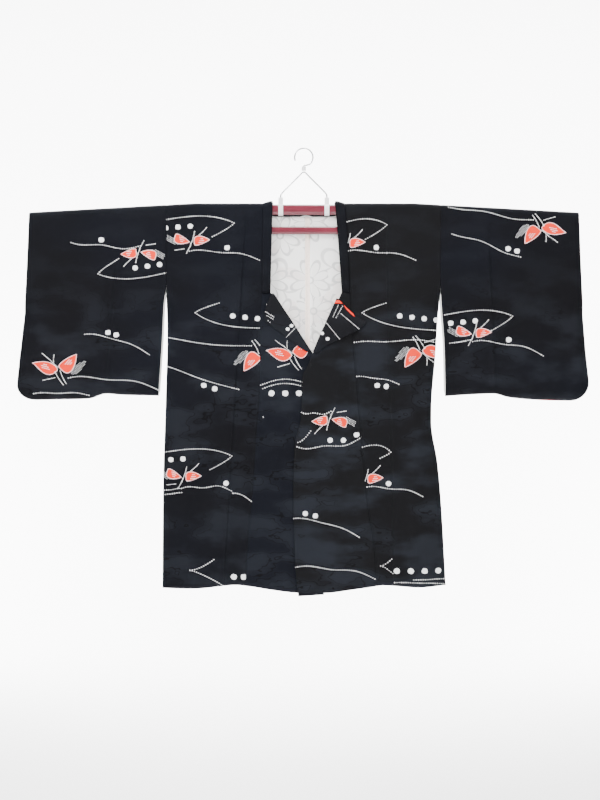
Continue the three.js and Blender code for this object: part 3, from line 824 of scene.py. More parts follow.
@dataclass(frozen=True)
class LeafCut:
    """A leaf from its base to its tip, in millimetres.

    Each edge's half width follows u ** base * (1 - u) ** tip along the leaf: a small base
    power is blunt, and a tip power over 1 draws the tip out.
    """

    length: float
    upper: tuple[float, float, float]
    lower: tuple[float, float, float]

    def outline(self, inset: float = 0.0) -> Points:
        """Return the outline along +X from the base at the origin.

        Args:
            inset: how far it shrinks on every side.
        """
        u = 0.5 - 0.5 * np.cos(np.linspace(0, math.pi, 16))
        sides = []
        for sign, (width, base, tip) in ((-1, self.upper), (1, self.lower)):
            peak = base / (base + tip)
            half = u**base * (1 - u) ** tip / (peak**base * (1 - peak) ** tip)
            sides.append(sign * half * (width - inset))
        x = inset * 1.1 + u * (self.length - inset * 3.2)
        return np.concatenate([np.stack([x, sides[0]], 1), np.stack([x, sides[1]], 1)[-2:0:-1]])


LONG_LEAF = LeafCut(63, (17.5, 0.75, 1.4), (12, 0.7, 1.0))
SHELL_LEAF = LeafCut(52, (14.5, 0.17, 0.8), (17.5, 0.34, 0.9))
SMALL_LEAF = LeafCut(38, (10.5, 0.15, 0.9), (12, 0.36, 0.85))
SHADE_LEAF = LeafCut(46, (9, 0.4, 0.7), (9, 0.4, 0.7))
SMALL_SHADE_LEAF = LeafCut(36, (8, 0.4, 0.6), (8, 0.4, 0.6))


@dataclass
class Spray(Motif):
    """Two coral leaves with crossing stems and a shade of small grey ties.

    It is placed by the crossing of its stems. Each leaf has its cut, base, turn and mirror.
    """

    leaves: tuple[tuple[LeafCut, float, float, float, int], ...] = (
        (LONG_LEAF, 4, 1, 11, 1), (SHELL_LEAF, -6, 0, 128, 1),
    )
    stems: tuple[tuple[float, float, float, float], ...] = (
        (-18, -30, -2, -1), (-11, -33, 10, -4), (4, 7, 22, 22), (22, 22, 43, 37), (15, 19, 15, 35),
        (10, -18, 37, -26),
    )
    shade: tuple[LeafCut, float, float, float, int] | None = (SHADE_LEAF, -27, -6, 136, 1)

    def local(self, place: tuple[LeafCut, float, float, float, int], outline: Points) -> Points:
        """Return a leaf's own outline on the cloth.

        Args:
            place: the leaf's place in the spray.
            outline: points in the leaf's own frame.
        """
        _, x, y, turn, mirror = place
        return self.spread(Motif(x, y, turn).spread(outline * (1, mirror)))

    def leaf(self, place: tuple[LeafCut, float, float, float, int], rng: random.Random) -> list[Print]:
        """Return a leaf: coral heart, lighter rim, tied pale outline and pale ticks.

        Args:
            place: the leaf's place in the spray.
            rng: source of the small unevenness.
        """
        cut = place[0]
        made = [
            Print(self.local(place, cut.outline()), Ink.RIM, 1),
            Print(self.local(place, cut.outline(2.6)), Ink.CORAL, 2),
        ]
        rim = self.local(place, cut.outline(0.5))
        made += self.stitches(np.concatenate([rim, rim[:1]]), rng, 2.4, 0.98)
        for row, (start, stop) in enumerate(((0.3, 0.62), (0.36, 0.66), (0.44, 0.6))):
            y = (row - 1) * 4.3
            count = 4 if row < 2 else 2
            for i in range(count):
                x = cut.length * (start + (stop - start) * i / count)
                long = cut.length * 0.055
                tick = np.array([[x, y - 0.7], [x + long, y - 0.6], [x + long, y + 0.7], [x, y + 0.6]])
                made.append(Print(self.local(place, tick), Ink.WHITE, 4))
        return made

    def prints(self, rng: random.Random) -> list[Print]:
        """Return leaves, stems and the shade of ties."""
        made = []
        for place in self.leaves:
            made += self.leaf(place, rng)
        for x0, y0, x1, y1 in self.stems:
            line = np.linspace((x0, y0), (x1, y1), 8)
            bow = np.sin(np.linspace(0, math.pi, 8))[:, None] * (0.05 * (y1 - y0), 0.0)
            made += self.stitches(self.spread(line + bow), rng, 3.0, 1.15)
        if self.shade is None:
            return made
        outline = self.shade[0].outline()
        low, high = outline.min(0), outline.max(0)
        columns, rows = np.arange(low[0], high[0], 3.9), np.arange(low[1], high[1], 3.4)
        lattice = np.array([[c + 1.9 * (k % 2), r] for k, r in enumerate(rows) for c in columns])
        for tie in self.local(self.shade, lattice[inside(lattice, outline)]):
            square = 1.3 * rng.uniform(0.8, 1.1) * np.array([[-1, 0], [0, -1], [1, 0], [0, 1]])
            made.append(Print(tie + square, Ink.GREY, 0))
        return made


@dataclass
class SmallSpray(Spray):
    """The smaller spray: two short leaves, one on each side of a single long stem."""

    leaves: tuple[tuple[LeafCut, float, float, float, int], ...] = (
        (SMALL_LEAF, -40, -10, 16, 1), (SMALL_LEAF, 6, -1, -5, -1),
    )
    stems: tuple[tuple[float, float, float, float], ...] = (
        (8, -24, -11, 27), (36, -33, 19, -16), (-1, 4, -2, 11), (-38, 20, -17, 17),
    )
    shade: tuple[LeafCut, float, float, float, int] = (SMALL_SHADE_LEAF, -60, -12, 28, 1)


@dataclass
class Wave(Motif):
    """A long drifting line of tied dots; x and down are its start.

    Far and drop give its end, swell its height, drift how far it sways from one arch, and
    spots the places of its round spots.
    """

    far: float = 160.0
    drop: float = 20.0
    swell: float = 6.0
    spots: tuple[float, ...] = ()
    lift: float = -12.0
    double: bool = False
    drift: float = 0.45

    def line(self, shift: float) -> Points:
        """Return the line's points, moved down by a shift."""
        t = np.linspace(0, 1, 40)
        bow = self.swell * np.sin(math.pi * t) + self.drift * self.swell * np.sin(3 * math.pi * t + 0.6)
        return np.stack([self.far * t, self.drop * t**1.6 - bow + shift], 1)

    def prints(self, rng: random.Random) -> list[Print]:
        """Return the line or lines and the spots."""
        made = self.stitches(self.spread(self.line(0.0)), rng)
        if self.double:
            made += self.stitches(self.spread(self.line(10.0)[2:]), rng)
        for t in self.spots:
            base = self.line(0.0)[int(t * 39)]
            made += self.dot(self.spread(np.array([base + (0, self.lift)]))[0], 7.0, rng)
        return made


@dataclass
class Spots(Motif):
    """Round spots in a row that x and down start."""

    step: float = 33.0
    count: int = 4

    def prints(self, rng: random.Random) -> list[Print]:
        """Return the spots."""
        places = [np.array([self.x + self.step * i, self.down]) for i in range(self.count)]
        return [shape for place in places for shape in self.dot(place, 7.8, rng)]


@dataclass
class Speck(Motif):
    """A small pale thread mark."""

    def prints(self, rng: random.Random) -> list[Print]:
        """Return the mark."""
        return self.stitches(np.array([[self.x, self.down], [self.x + 0.5, self.down + 2]]), rng, 3.0, 1.0)


class Layout:
    """Where the motifs lie on each length of cloth, front and back."""

    fronts: dict[str, list[Motif]] = {
        "body_right": [
            Boat(-165, 48, 2, first=103), SmallSpray(-266, 92, 0),
            Wave(-270, 116, far=165, drop=18, spots=(0.55,)),
            Boat(-256, 260, 192), Wave(-322, 318, far=198, drop=20, swell=-10, drift=0),
            Spray(-104, 357),
            Wave(-322, 387, far=168, drop=54, swell=-13, spots=(0.53, 0.667), lift=13, drift=0),
            Boat(-170, 598, 2, spots=2, first=115), SmallSpray(-285, 648, 2),
            Wave(-330, 680, far=42, drop=-6, swell=1, double=True),
            Wave(-289, 677, far=118, drop=1, swell=8, spots=(0.9,)),
            Wave(-167, 686, far=43, drop=19, swell=2, drift=0),
            Wave(-268, 867, far=56, drop=-25, swell=0),
            Wave(-268, 867, far=78, drop=36, swell=-3, drift=0),
            Spots(-165, 883, step=23.5, count=2),
        ],
        "body_left": [
            Boat(196, 52, 0, reach=110, spots=0), SmallSpray(102, 97),
            Wave(100, 116, far=164, drop=18, spots=(0.46,)),
            Boat(138, 260, 192, reach=185, spots=4), Wave(114, 332, far=198, drop=-4, swell=5),
            Spray(276, 348), Wave(120, 412, far=104, drop=16, swell=3, spots=(0.52, 0.74), lift=16),
            Boat(205, 589, 4, reach=78, hook=24, spots=0), SmallSpray(144, 654),
            Wave(144, 674, far=136, drop=18, swell=6, spots=(0.42,)), Spots(219, 869),
            Wave(181, 857, far=26, drop=-16, swell=0), Wave(181, 857, far=29, drop=18, swell=-1),
            Wave(259, 890, far=78, drop=-1, swell=0.5), Wave(214, 896, far=123, drop=5, swell=0.5),
        ],
        "front_panel_right": [
            Spray(-24, 362, 180, shade=None),
            Wave(-102, 431, far=104, drop=-6, swell=12, double=True, drift=0),
            Spots(-76, 450, step=32.4, count=3), Speck(-88, 240), Speck(-96, 505),
        ],
        "front_panel_left": [
            Wave(-6, 494, far=70, drop=0, swell=-5), SmallSpray(62, 512, 180),
            Wave(-16, 574, far=152, drop=-18, swell=-9, spots=(0.52, 0.72, 0.93), lift=-13),
            Wave(-14, 566, far=30, drop=-27, swell=0),
            Wave(-24, 746, far=154, drop=42, swell=4, spots=(0.18, 0.34)),
            Wave(-20, 862, far=192, drop=26, swell=8),
        ],
        "sleeve_right": [
            Wave(-550, 92, far=164, drop=12, swell=-8, spots=(0.45,)), SmallSpray(-389, 117, 180),
            Boat(-486, 168, 178, reach=162), Wave(-517, 312, far=152, drop=46, swell=4, spots=(0.36, 0.5)),
            Spray(-577, 396, 184), Wave(-556, 416, far=212, drop=24, swell=8),
            Wave(-638, 452, far=130, drop=2, swell=4),
        ],
        "sleeve_left": [
            Wave(342, 8, far=200, drop=34, swell=-7), Spray(558, 58, 0, 0.95),
            Wave(350, 72, far=162, drop=58, swell=-7, spots=(0.84, 0.95)), Boat(493, 268, 0),
            SmallSpray(400, 310, 0), Wave(345, 332, far=48, drop=-8, swell=1),
            Wave(399, 330, far=166, drop=30, swell=7, spots=(0.52,)),
        ],
    }
    backs: dict[str, list[Motif]] = {
        "body_right": [
            Boat(-96, 120, 4), SmallSpray(-206, 168), Wave(-214, 196, far=190, drop=20, spots=(0.5,)),
            Boat(-284, 330, 190, spots=4), Wave(-320, 402, far=240, drop=24), Spray(-92, 452, 180),
            Wave(-200, 500, far=190, drop=30, spots=(0.7, 0.82), lift=13), Boat(-72, 656, 4),
            SmallSpray(-188, 706),
            Wave(-320, 752, far=250, drop=26, spots=(0.3,)), Boat(-262, 848, 196, spots=3),
        ],
        "body_left": [
            Boat(210, 96, 2), SmallSpray(96, 140, 4), Wave(80, 172, far=190, drop=20, spots=(0.6,)),
            Boat(60, 318, 188, spots=4), Spray(232, 376, 0), Wave(60, 402, far=230, drop=12),
            Wave(70, 470, far=170, drop=40, spots=(0.5, 0.65), lift=13), Boat(262, 610, 0),
            SmallSpray(140, 664, 4),
            Wave(120, 700, far=190, drop=30, spots=(0.4,)), Boat(92, 842, 190, spots=4),
        ],
        "sleeve_right": [
            Boat(-392, 66, 4), SmallSpray(-500, 116), Wave(-630, 150, far=230, drop=24, spots=(0.5,)),
            Boat(-560, 286, 186, spots=4), Spray(-414, 350, 180),
            Wave(-640, 392, far=240, drop=22, spots=(0.3, 0.4), lift=13),
        ],
        "sleeve_left": [
            Boat(600, 84, 4), SmallSpray(472, 132), Wave(400, 168, far=220, drop=26, spots=(0.6,)),
            Boat(402, 300, 188, spots=3), Spray(560, 356, 2),
            Wave(360, 398, far=250, drop=22, spots=(0.25,)),
        ],
    }


# Meshes


def inside(points: Points, outline: Points) -> Points:
    """Return which points lie inside a closed outline."""
    x, y = points[:, :1], points[:, 1:]
    ax, ay = outline.T
    bx, by = np.roll(outline, -1, axis=0).T
    spans = (ay > y) != (by > y)
    cross = (bx - ax) * (y - ay) / np.where(by == ay, 1e-9, by - ay) + ax
    return ((spans & (x < cross)).sum(axis=1) % 2).astype(bool)


def anticlockwise(outline: Points) -> Points:
    """Return an outline's points in anticlockwise order."""
    x, y = outline.T
    return outline if x @ np.roll(y, -1) > y @ np.roll(x, -1) else outline[::-1]


def distance(points: Points, line: Points, closed: bool = True) -> Points:
    """Return how far each point lies from a line.

    Args:
        points: the points.
        line: points of the line.
        closed: whether its end joins its start.
    """
    a = line if closed else line[:-1]
    b = np.roll(line, -1, axis=0) if closed else line[1:]
    least = np.full(len(points), np.inf)
    for p, q in zip(a, b, strict=True):
        d = q - p
        t = np.clip(((points - p) @ d) / max(float(d @ d), 1e-9), 0, 1)
        least = np.minimum(least, np.hypot(*(points - p - t[:, None] * d).T))
    return least


def resampled(line: Points, pitch: float) -> Points:
    """Return a line's points spread evenly, ends kept."""
    steps = np.hypot(*np.diff(line, axis=0).T)
    along = np.concatenate([[0], np.cumsum(steps)])
    places = np.linspace(0, along[-1], max(int(along[-1] / pitch), 1) + 1)
    return np.stack([np.interp(places, along, line[:, k]) for k in (0, 1)], 1)


def new_object(name: str, points: Points, faces: list, materials: list) -> bpy.types.Object:
    """Make a smooth-shaded mesh object that rides on the coat.

    Args:
        name: the piece's name.
        points: its vertices in metres.
        faces: its faces.
        materials: its material slots.

    Returns:
        The object.
    """
    mesh = bpy.data.meshes.new(name)
    mesh.from_pydata([tuple(p) for p in points], [], faces)
    for material in materials:
        mesh.materials.append(material)
    mesh.polygons.foreach_set("use_smooth", [True] * len(mesh.polygons))
    made = bpy.data.objects.new(name, mesh)
    bpy.context.collection.objects.link(made)
    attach(made, "root")
    return made


def thicken(piece: bpy.types.Object, thickness: float, offset: float, inner_slot: int) -> None:
    """Give a sheet its thickness, as an applied Solidify.

    Args:
        piece: the sheet.
        thickness: in metres.
        offset: -1 to grow inwards, 0 both ways.
        inner_slot: how many slots the inner face moves on.
    """
    modifier = piece.modifiers.new("thickness", "SOLIDIFY")
    modifier.thickness = thickness
    modifier.offset = offset
    modifier.material_offset = inner_slot
    modifier.material_offset_rim = 0
    depsgraph = bpy.context.evaluated_depsgraph_get()
    solid = bpy.data.meshes.new_from_object(piece.evaluated_get(depsgraph))
    piece.modifiers.clear()
    old = piece.data
    piece.data = solid
    bpy.data.meshes.remove(old)


@dataclass
class Sheet:
    """A length of cloth cut along an outline, printed, and laid on the coat's form.

    The outline and prints are in the sheet's own flat millimetres, which place turns into
    points in metres, standing proud by so many millimetres.
    """

    name: str
    outline: Points
    place: Callable[[Points, Points], Points]
    prints: list[Print]
    pitch: float = 12.0
    fine_rows: tuple[float, ...] = ()
    proud: float = 1.0
    thickness: float = 1.3
    roll: float = 0.8
    slots: int = Ink.LINING.value
    turned_up: float = 0.0
    creases: list[Points] = field(default_factory=list)

    def flat_points(self) -> Points:
        """Return the points between the edges: a grid, finer rows and lines along the edges."""
        low, high = self.outline.min(0), self.outline.max(0)
        columns = np.arange(low[0] + self.pitch / 2, high[0], self.pitch)
        rows = np.concatenate([np.arange(low[1] + self.pitch / 2, high[1], self.pitch), self.fine_rows])
        grid = np.stack(np.meshgrid(columns, np.unique(rows)), -1).reshape(-1, 2)
        far = distance(grid, self.outline)
        grid = grid[inside(grid, self.outline) & (far > 8)]
        tangent = np.roll(self.outline, -1, 0) - np.roll(self.outline, 1, 0)
        tangent /= np.maximum(np.hypot(*tangent.T), 1e-9)[:, None]
        normal = np.stack([-tangent[:, 1], tangent[:, 0]], 1)
        lines = [self.outline + sign * inset * normal for inset in (2.2, 5.5) for sign in (1, -1)]
        for crease in self.creases:
            lines += [resampled(crease, 11) + (shift, 0) for shift in (-5.5, -3, -1.2, 0.4, 2, 4.5)]
            grid = grid[distance(grid, crease, closed=False) > 7]
        near = np.concatenate(lines)
        kept = near[inside(near, self.outline) & (distance(near, self.outline) > 1.9)]
        return np.concatenate([grid, kept])

    def build(self, materials: list[bpy.types.Material]) -> bpy.types.Object:
        """Cut, print and place the sheet.

        Args:
            materials: slots in the order of Ink.

        Returns:
            The finished piece.
        """
        extra = self.flat_points()
        shapes = [anticlockwise(s) for s in (self.outline, *(p.outline for p in self.prints))]
        points = np.concatenate([extra, *shapes])
        faces = []
        start = len(extra)
        for shape in shapes:
            faces.append(list(range(start, start + len(shape))))
            start += len(shape)
        flat, _, triangles, _, _, origins = delaunay_2d_cdt([Vector(p) for p in points], [], faces, 1, 1e-4)
        kept = [(t, o) for t, o in zip(triangles, origins, strict=True) if 0 in o]
        flat_array = np.array([tuple(p) for p in flat])
        sunk = self.roll * np.exp(-((distance(flat_array, self.outline) / 2.4) ** 2))
        lifted = self.proud - sunk
        placed = self.place(flat_array, lifted)
        placed_up = self.place(flat_array, lifted + 1.0)
        order = kept[0][0]
        a, b, c = (placed[i] for i in order)
        outward = placed_up[order[0]] - placed[order[0]]
        turn = float(np.cross(b - a, c - a) @ outward) < 0
        tris = [tuple(reversed(t)) if turn else tuple(t) for t, _ in kept]
        used = sorted({i for t in tris for i in t})
        renumber = {old: new for new, old in enumerate(used)}
        tris = [tuple(renumber[i] for i in t) for t in tris]
        piece = new_object(self.name, placed[used], tris, materials)
        inks = []
        for _, origin in kept:
            over = [self.prints[o - 1] for o in origin if o > 0]
            best = max(over, key=lambda p: p.rank, default=None)
            inks.append(best.ink.value if best else 0)
        piece.data.polygons.foreach_set("material_index", inks)
        thicken(piece, self.thickness * MM, -1, self.slots)
        if self.turned_up:
            self.turn_up_hem(piece)
        return piece

    def turn_up_hem(self, piece: bpy.types.Object) -> None:
        """Face the inside above the hem with coat cloth.

        Args:
            piece: the sheet.
        """
        hem = min(v.co.z for v in piece.data.vertices) + self.turned_up * MM
        for face in piece.data.polygons:
            if face.material_index >= self.slots and face.center.z < hem:
                face.material_index = 0

    def cut_size(self) -> tuple[tuple[float, float], float]:
        """Return the flat cut's width and length, and its area, in metres."""
        wide, long = (self.outline.max(0) - self.outline.min(0)) * MM
        x, y = self.outline.T
        area = abs(float(x @ np.roll(y, -1) - y @ np.roll(x, -1))) / 2 * MM**2
        return (float(wide), float(long)), area


def declare(size: tuple[float, float], area: float, on: list[str]) -> None:
    """Work out how much of its cut size a hanging sheet of cloth fills; the result is not kept.

    Args:
        size: its flat width and length in metres.
        area: its flat area in square metres.
        on: what it hangs from; not used.
    """
    share = min(max(area, 0.302 * size[0] * size[1]), size[0] * size[1])


def grid_piece(
    name: str, rows: list[Points], materials: list, thickness: float, ring: bool = False
) -> bpy.types.Object:
    """Make a sheet from rows of points.

    Args:
        name: the piece's name.
        rows: rows of points in metres.
        materials: its slots.
        thickness: in metres, 0 for a closed form.
        ring: whether each row closes on itself.

    Returns:
        The piece.
    """
    wide = len(rows[0])
    faces = []
    for i in range(len(rows) - 1):
        for j in range(wide if ring else wide - 1):
            k = (j + 1) % wide
            faces.append((i * wide + j, (i + 1) * wide + j, (i + 1) * wide + k, i * wide + k))
    if ring:
        faces.append(tuple(range(wide)))
        faces.append(tuple(reversed(range((len(rows) - 1) * wide, len(rows) * wide))))
    piece = new_object(name, np.concatenate(rows), faces, materials)
    if thickness:
        thicken(piece, thickness, 0, 0)
    return piece


# Pieces of the coat


@dataclass
class Printer:
    """Turns the layout's motifs into prints on the run of the cloth."""

    cloth: Cloth
    seed: int = 11

    def on(self, motifs: list[Motif], layer: Layer) -> list[Print]:
        """Return the prints of some motifs on one layer.

        Args:
            motifs: the motifs.
            layer: front or back.
        """
        rng = random.Random(self.seed + len(motifs))
        made = []
        for motif in motifs:
            for shape in motif.prints(rng):
                x, down = shape.outline.T
                run = layer.value * self.cloth.run(x, down)
                made.append(Print(np.stack([x, run], 1), shape.ink, shape.rank))
        return made


@dataclass
class Body:
    """One half of the body: front hem over the shoulder to the back hem."""

    cloth: Cloth
    half: Half
    neck_seam: float = -0.2
    edge_pitch: float = 11.0

    def outline(self) -> Points:
        """Return the cut in x and run."""
        c, cut, sign = self.cloth, self.cloth.cut(self.half), self.half.value
        seam_x = float(cut.seam(c.back_hem)) - c.overlap
        side_x = float(cut.side(c.back_hem))
        hem_x = np.linspace(side_x, seam_x, 22)
        hem = np.stack([sign * hem_x, -c.run(hem_x, cut.hem(sign * hem_x))], 1)
        downs = np.linspace(float(cut.hem(sign * seam_x)), c.bend, 80)[1:]
        seam = np.stack([sign * (cut.seam(downs) - c.overlap), -c.run(cut.seam(downs), downs)], 1)
        corner = c.band_x - c.band_corner
        bend = c.band_corner + c.band_half + self.neck_seam
        turn_from = c.band_back - c.band_corner
        runs = np.linspace(-c.bent + 3, turn_from, 6)
        straight = np.stack([np.full(6, sign * (corner + bend)), runs], 1)
        angle = np.linspace(0, math.pi / 2, 10)[1:]
        arc = np.stack([sign * (corner + bend * np.cos(angle)), turn_from + bend * np.sin(angle)], 1)
        centre = c.centre - sign * c.overlap / 2
        back_run = float(c.run(0, c.back_hem))
        corner_point = [centre, arc[-1][1]]
        neck = np.concatenate([
            resampled(np.array(leg), self.edge_pitch)[1:]
            for leg in ([arc[-1], corner_point], [corner_point, [centre, back_run]])
        ])
        side_run = float(c.run(side_x, c.back_hem))
        back = resampled(np.array([[centre, back_run], [sign * side_x, side_run]]), self.edge_pitch)[1:-1]
        down_back = np.linspace(c.back_hem, c.bend, 78)
        up = np.stack([sign * cut.side(down_back), c.run(cut.side(down_back), down_back)], 1)
        over = np.stack([np.full(7, sign * 325.0), np.linspace(c.bent - 3, 3 - c.bent, 7)], 1)
        down_front = np.linspace(c.bend, float(cut.hem(sign * side_x)), 78)[:-1]
        fall = np.stack([sign * cut.side(down_front), -c.run(cut.side(down_front), down_front)], 1)
        return np.concatenate([hem, seam, straight, arc, neck, back, up, over, fall])

    def crease(self) -> Points:
        """Return the pressed edge of the strip, as x and run."""
        down = np.linspace(30, 900, 60)
        x = self.cloth.crease_x(self.half, down)
        return np.stack([self.half.value * x, -self.cloth.run(x, down)], 1)

    def build(self, printer: Printer, finishes: Finishes) -> bpy.types.Object:
        """Make the body half.

        Args:
            printer: makes its prints.
            finishes: the materials.

        Returns:
            The piece.
        """
        node = f"body_{self.half.name.lower()}"
        prints = printer.on(Layout.fronts[node], Layer.FRONT) + printer.on(Layout.backs[node], Layer.BACK)
        fine = tuple(np.linspace(-self.cloth.bent, self.cloth.bent, 15))
        sheet = Sheet(
            f"cloth_{node}", self.outline(),
            lambda p, proud: self.cloth.seat(p[:, 0], p[:, 1], proud), prints, fine_rows=fine, turned_up=42,
            creases=[self.crease()],
        )
        silk = finishes.side_silk if self.half is Half.LEFT else finishes.silk
        piece = sheet.build(finishes.coat(silk))
        size, area = sheet.cut_size()
        declare(size, area, ["upper_bar"])
        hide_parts(node)
        return piece


@dataclass
class FrontPanel:
    """A front panel from its seam to its free edge, hem to neck band."""

    cloth: Cloth
    half: Half
    top: float = 213.0
    roll_back: float = 5.0
    fold_end: float = 356.0
    lap: float = 5.0
    under_rows: tuple[tuple[float, float], ...] = (
        (205, -82), (218, -68), (249, -49), (279, -29), (327, 0), (356, 21), (930, 48),
    )
    top_rows: tuple[tuple[float, float], ...] = (
        (205, 88), (226, 78), (277, 55), (336, 29), (356, 21), (391, 6), (405, -2), (428, -4),
        (509, -7), (567, -21), (676, -25), (839, -21), (930, -14),
    )

    def free_edge(self) -> Edge:
        """Return the free edge, x against down."""
        return Edge(list(self.under_rows if self.half is Half.RIGHT else self.top_rows))

    def proud(self, x: Points) -> Points:
        """Return how far the lapped front stands in front of the coat's middle surface."""
        if self.half is Half.RIGHT:
            return np.zeros_like(x)
        seam = float(self.cloth.left.seam(500))
        return self.lap * smooth((seam - 12 - x) / 50)

    def outline(self) -> Points:
        """Return the cut in x and run."""
        c, cut, sign = self.cloth, self.cloth.cut(self.half), self.half.value
        edge = self.free_edge()
        hem_edge = float(edge(918))
        seam_hem = sign * float(cut.seam(905))
        hem_x = np.linspace(seam_hem, hem_edge, 18)
        hem = np.stack([hem_x, -c.run(hem_x, cut.hem(hem_x))], 1)
        down = np.linspace(float(cut.hem(hem_edge)), self.top, 120)[1:]
        back = self.roll_back * smooth((self.fold_end - down) / 22)
        free_x = edge(down) + sign * back
        free = np.stack([free_x, -c.run(free_x, down)], 1)
        seam_down = np.linspace(self.top, float(cut.hem(seam_hem)), 78)[:-1]
        seam_x = sign * cut.seam(seam_down)
        seam = np.stack([seam_x, -c.run(seam_x, seam_down)], 1)
        return np.concatenate([hem, free, seam])

    def build(self, printer: Printer, finishes: Finishes) -> bpy.types.Object:
        """Make the panel.

        Args:
            printer: makes its prints.
            finishes: the materials.

        Returns:
            The piece.
        """
        node = f"front_panel_{self.half.name.lower()}"
        sheet = Sheet(
            f"cloth_{node}", self.outline(),
            lambda p, lift: self.cloth.seat(p[:, 0], p[:, 1], self.proud(p[:, 0]) + lift),
            printer.on(Layout.fronts[node], Layer.FRONT), pitch=10, turned_up=42,
        )
        silk = finishes.under_silk if self.half is Half.RIGHT else finishes.over_silk
        piece = sheet.build(finishes.coat(silk))
        size, area = sheet.cut_size()
        declare(size, area, [])
        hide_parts(node)
        return piece


@dataclass
class Lapel:
    """A front's upper corner, rolled forward over its fold line and lying on the panel.

    Each row pairs a point of the fold line with one of the outer edge, as x and down.
    """

    cloth: Cloth
    panel: FrontPanel
    rows: tuple[tuple[float, float, float, float], ...]
    spots: list[tuple[float, float, float, float]]
    corals: tuple[tuple[tuple[float, float], ...], ...] = ()
    roll: float = 3.0
    settle: float = 3.6

    def __post_init__(self) -> None:
        """Work out the smooth fold line and edge."""
        table = np.array(self.rows, float)
        t = np.linspace(0, 1, len(table))
        self.fold_x, self.fold_down, self.edge_x, self.edge_down = (
            Edge(list(zip(t, table[:, k], strict=True))) for k in range(4)
        )

        t = np.linspace(0, 1, 400)
        fold = np.stack([self.fold_x(t), self.fold_down(t)], 1)
        self.edge = np.stack([self.edge_x(t), self.edge_down(t)], 1)
        self.way = (fold - self.edge) / np.hypot(*(fold - self.edge).T)[:, None]
        self.start = fold - self.way * self.roll
        self.wide = np.hypot(*(self.start - self.edge).T)

    def place(self, flat: Points, proud: Points) -> Points:
        """Return points in metres from x and down; past the start of the roll they turn back."""
        near = np.argmin(np.hypot(*(flat[:, None, :] - self.start[None]).transpose(2, 0, 1)), axis=1)
        way = self.way[near]
        beyond = np.einsum("ij,ij->i", flat - self.start[near], way)
        rolled = beyond > 0
        angle = np.pi - np.clip(beyond / self.roll, 0, np.pi)
        share = np.clip(1 + beyond / self.wide[near], 0, 1)
        turned = flat + way * (self.roll * np.sin(angle) - beyond)[:, None]
        base = np.where(rolled[:, None], turned, flat)
        lie = self.settle + (2 * self.roll - self.settle) * smooth(share)
        lift = np.where(rolled, self.roll * (1 - np.cos(angle)), lie)
        out = np.where(rolled, -np.cos(angle), 1.0) * proud
        base = base + way * np.where(rolled, np.sin(angle) * proud, 0.0)[:, None]
        t = near / (len(self.start) - 1)
        swell = 0.9 * np.sin(np.pi * share) * np.sin(np.pi * t) * ~rolled
        x, down = base.T
        under = self.panel.proud(np.where(rolled, self.start[near][:, 0], x))
        return self.cloth.seat(x, -self.cloth.run(x, down), under + lift + out + swell)

    def build(self, finishes: Finishes, rng: random.Random) -> bpy.types.Object:
        """Make the lapel.

        Args:
            finishes: the materials.
            rng: source of the prints' unevenness.

        Returns:
            The piece.
        """
        node = f"lapel_{self.panel.half.name.lower()}"
        turned = self.start + self.way * math.pi * self.roll
        outline = resampled(np.concatenate([self.edge, turned[::-1], self.edge[:1]]), 3.5)[:-1]
        prints = []
        own = Motif(0, 0)
        for x0, y0, x1, y1 in self.spots:
            if (x0, y0) == (x1, y1):
                prints += own.dot(np.array([x0, y0]), 4.7, rng)
            else:
                prints += own.stitches(np.linspace((x0, y0), (x1, y1), 6), rng, 3.6, 1.05)
        prints += [Print(np.array(coral), Ink.CORAL, 2) for coral in self.corals]
        sheet = Sheet(f"cloth_{node}", outline, self.place, prints, pitch=6, roll=0.5, proud=0.9, slots=0)
        piece = sheet.build(finishes.coat(finishes.lapel_silk))
        size, area = sheet.cut_size()
        declare(size, area, [])
        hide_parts(node)
        return piece


@dataclass
class NeckBand:
    """The folded band round the neck: up one front, across the back and down the other."""

    cloth: Cloth
    crown: float = 1.3

    def stations(self, cut: HalfCut) -> list[tuple[Points, Points]]:
        """Return outer and inner points of one side, as x and run."""
        c, sign = self.cloth, cut.half.value
        made = []
        for down in np.linspace(213.6, c.bend, 30):
            outer = float(cut.band_outer(down)) + c.overlap
            inner = float(cut.band_inner(down))
            made.append((
                np.array([sign * outer, -float(c.run(outer, down))]),
                np.array([sign * inner, -float(c.run(inner, down))]),
            ))
        for run in np.linspace(-c.bent, 0, 8)[1:]:
            made.append((
                np.array([sign * (c.band_x + c.band_half), run]),
                np.array([sign * (c.band_x - c.band_half), run]),
            ))
        turn_from = c.band_back - c.band_corner
        for angle in np.linspace(0, math.pi / 2, 12):
            ends = []
            for radius in (c.band_corner + c.band_half, c.band_corner - c.band_half):
                x = sign * (c.band_x - c.band_corner + radius * math.cos(angle))
                ends.append(np.array([x, turn_from + radius * math.sin(angle)]))
            made.append(tuple(ends))
        return made

    def build(self, finishes: Finishes) -> bpy.types.Object:
        """Make the band.

        Args:
            finishes: the materials.

        Returns:
            The piece.
        """
        c = self.cloth
        middle = [
            (np.array([x, c.band_back + c.band_half]), np.array([x, c.band_back - c.band_half]))
            for x in np.linspace(-60, 60, 13)
        ]
        ends = self.stations(c.right) + middle + self.stations(c.left)[::-1]
        across = np.linspace(0, 1, 9)
        rows = []
        for outer, inner in ends:
            flat = outer + (inner - outer) * across[:, None]
            proud = 0.2 + self.crown * (1 - (2 * across - 1) ** 4)
            rows.append(c.seat(flat[:, 0], flat[:, 1], proud))
        piece = grid_piece("cloth_neck_band", rows, [finishes.silk], 1.8 * MM)
        middles = np.array([(o + i) / 2 for o, i in ends])
        long = float(np.hypot(*np.diff(middles, axis=0).T).sum()) * MM
        wide = 2 * c.band_half * MM
        declare((wide, long), wide * long, ["upper_bar"])
        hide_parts("neck_band")
        return piece


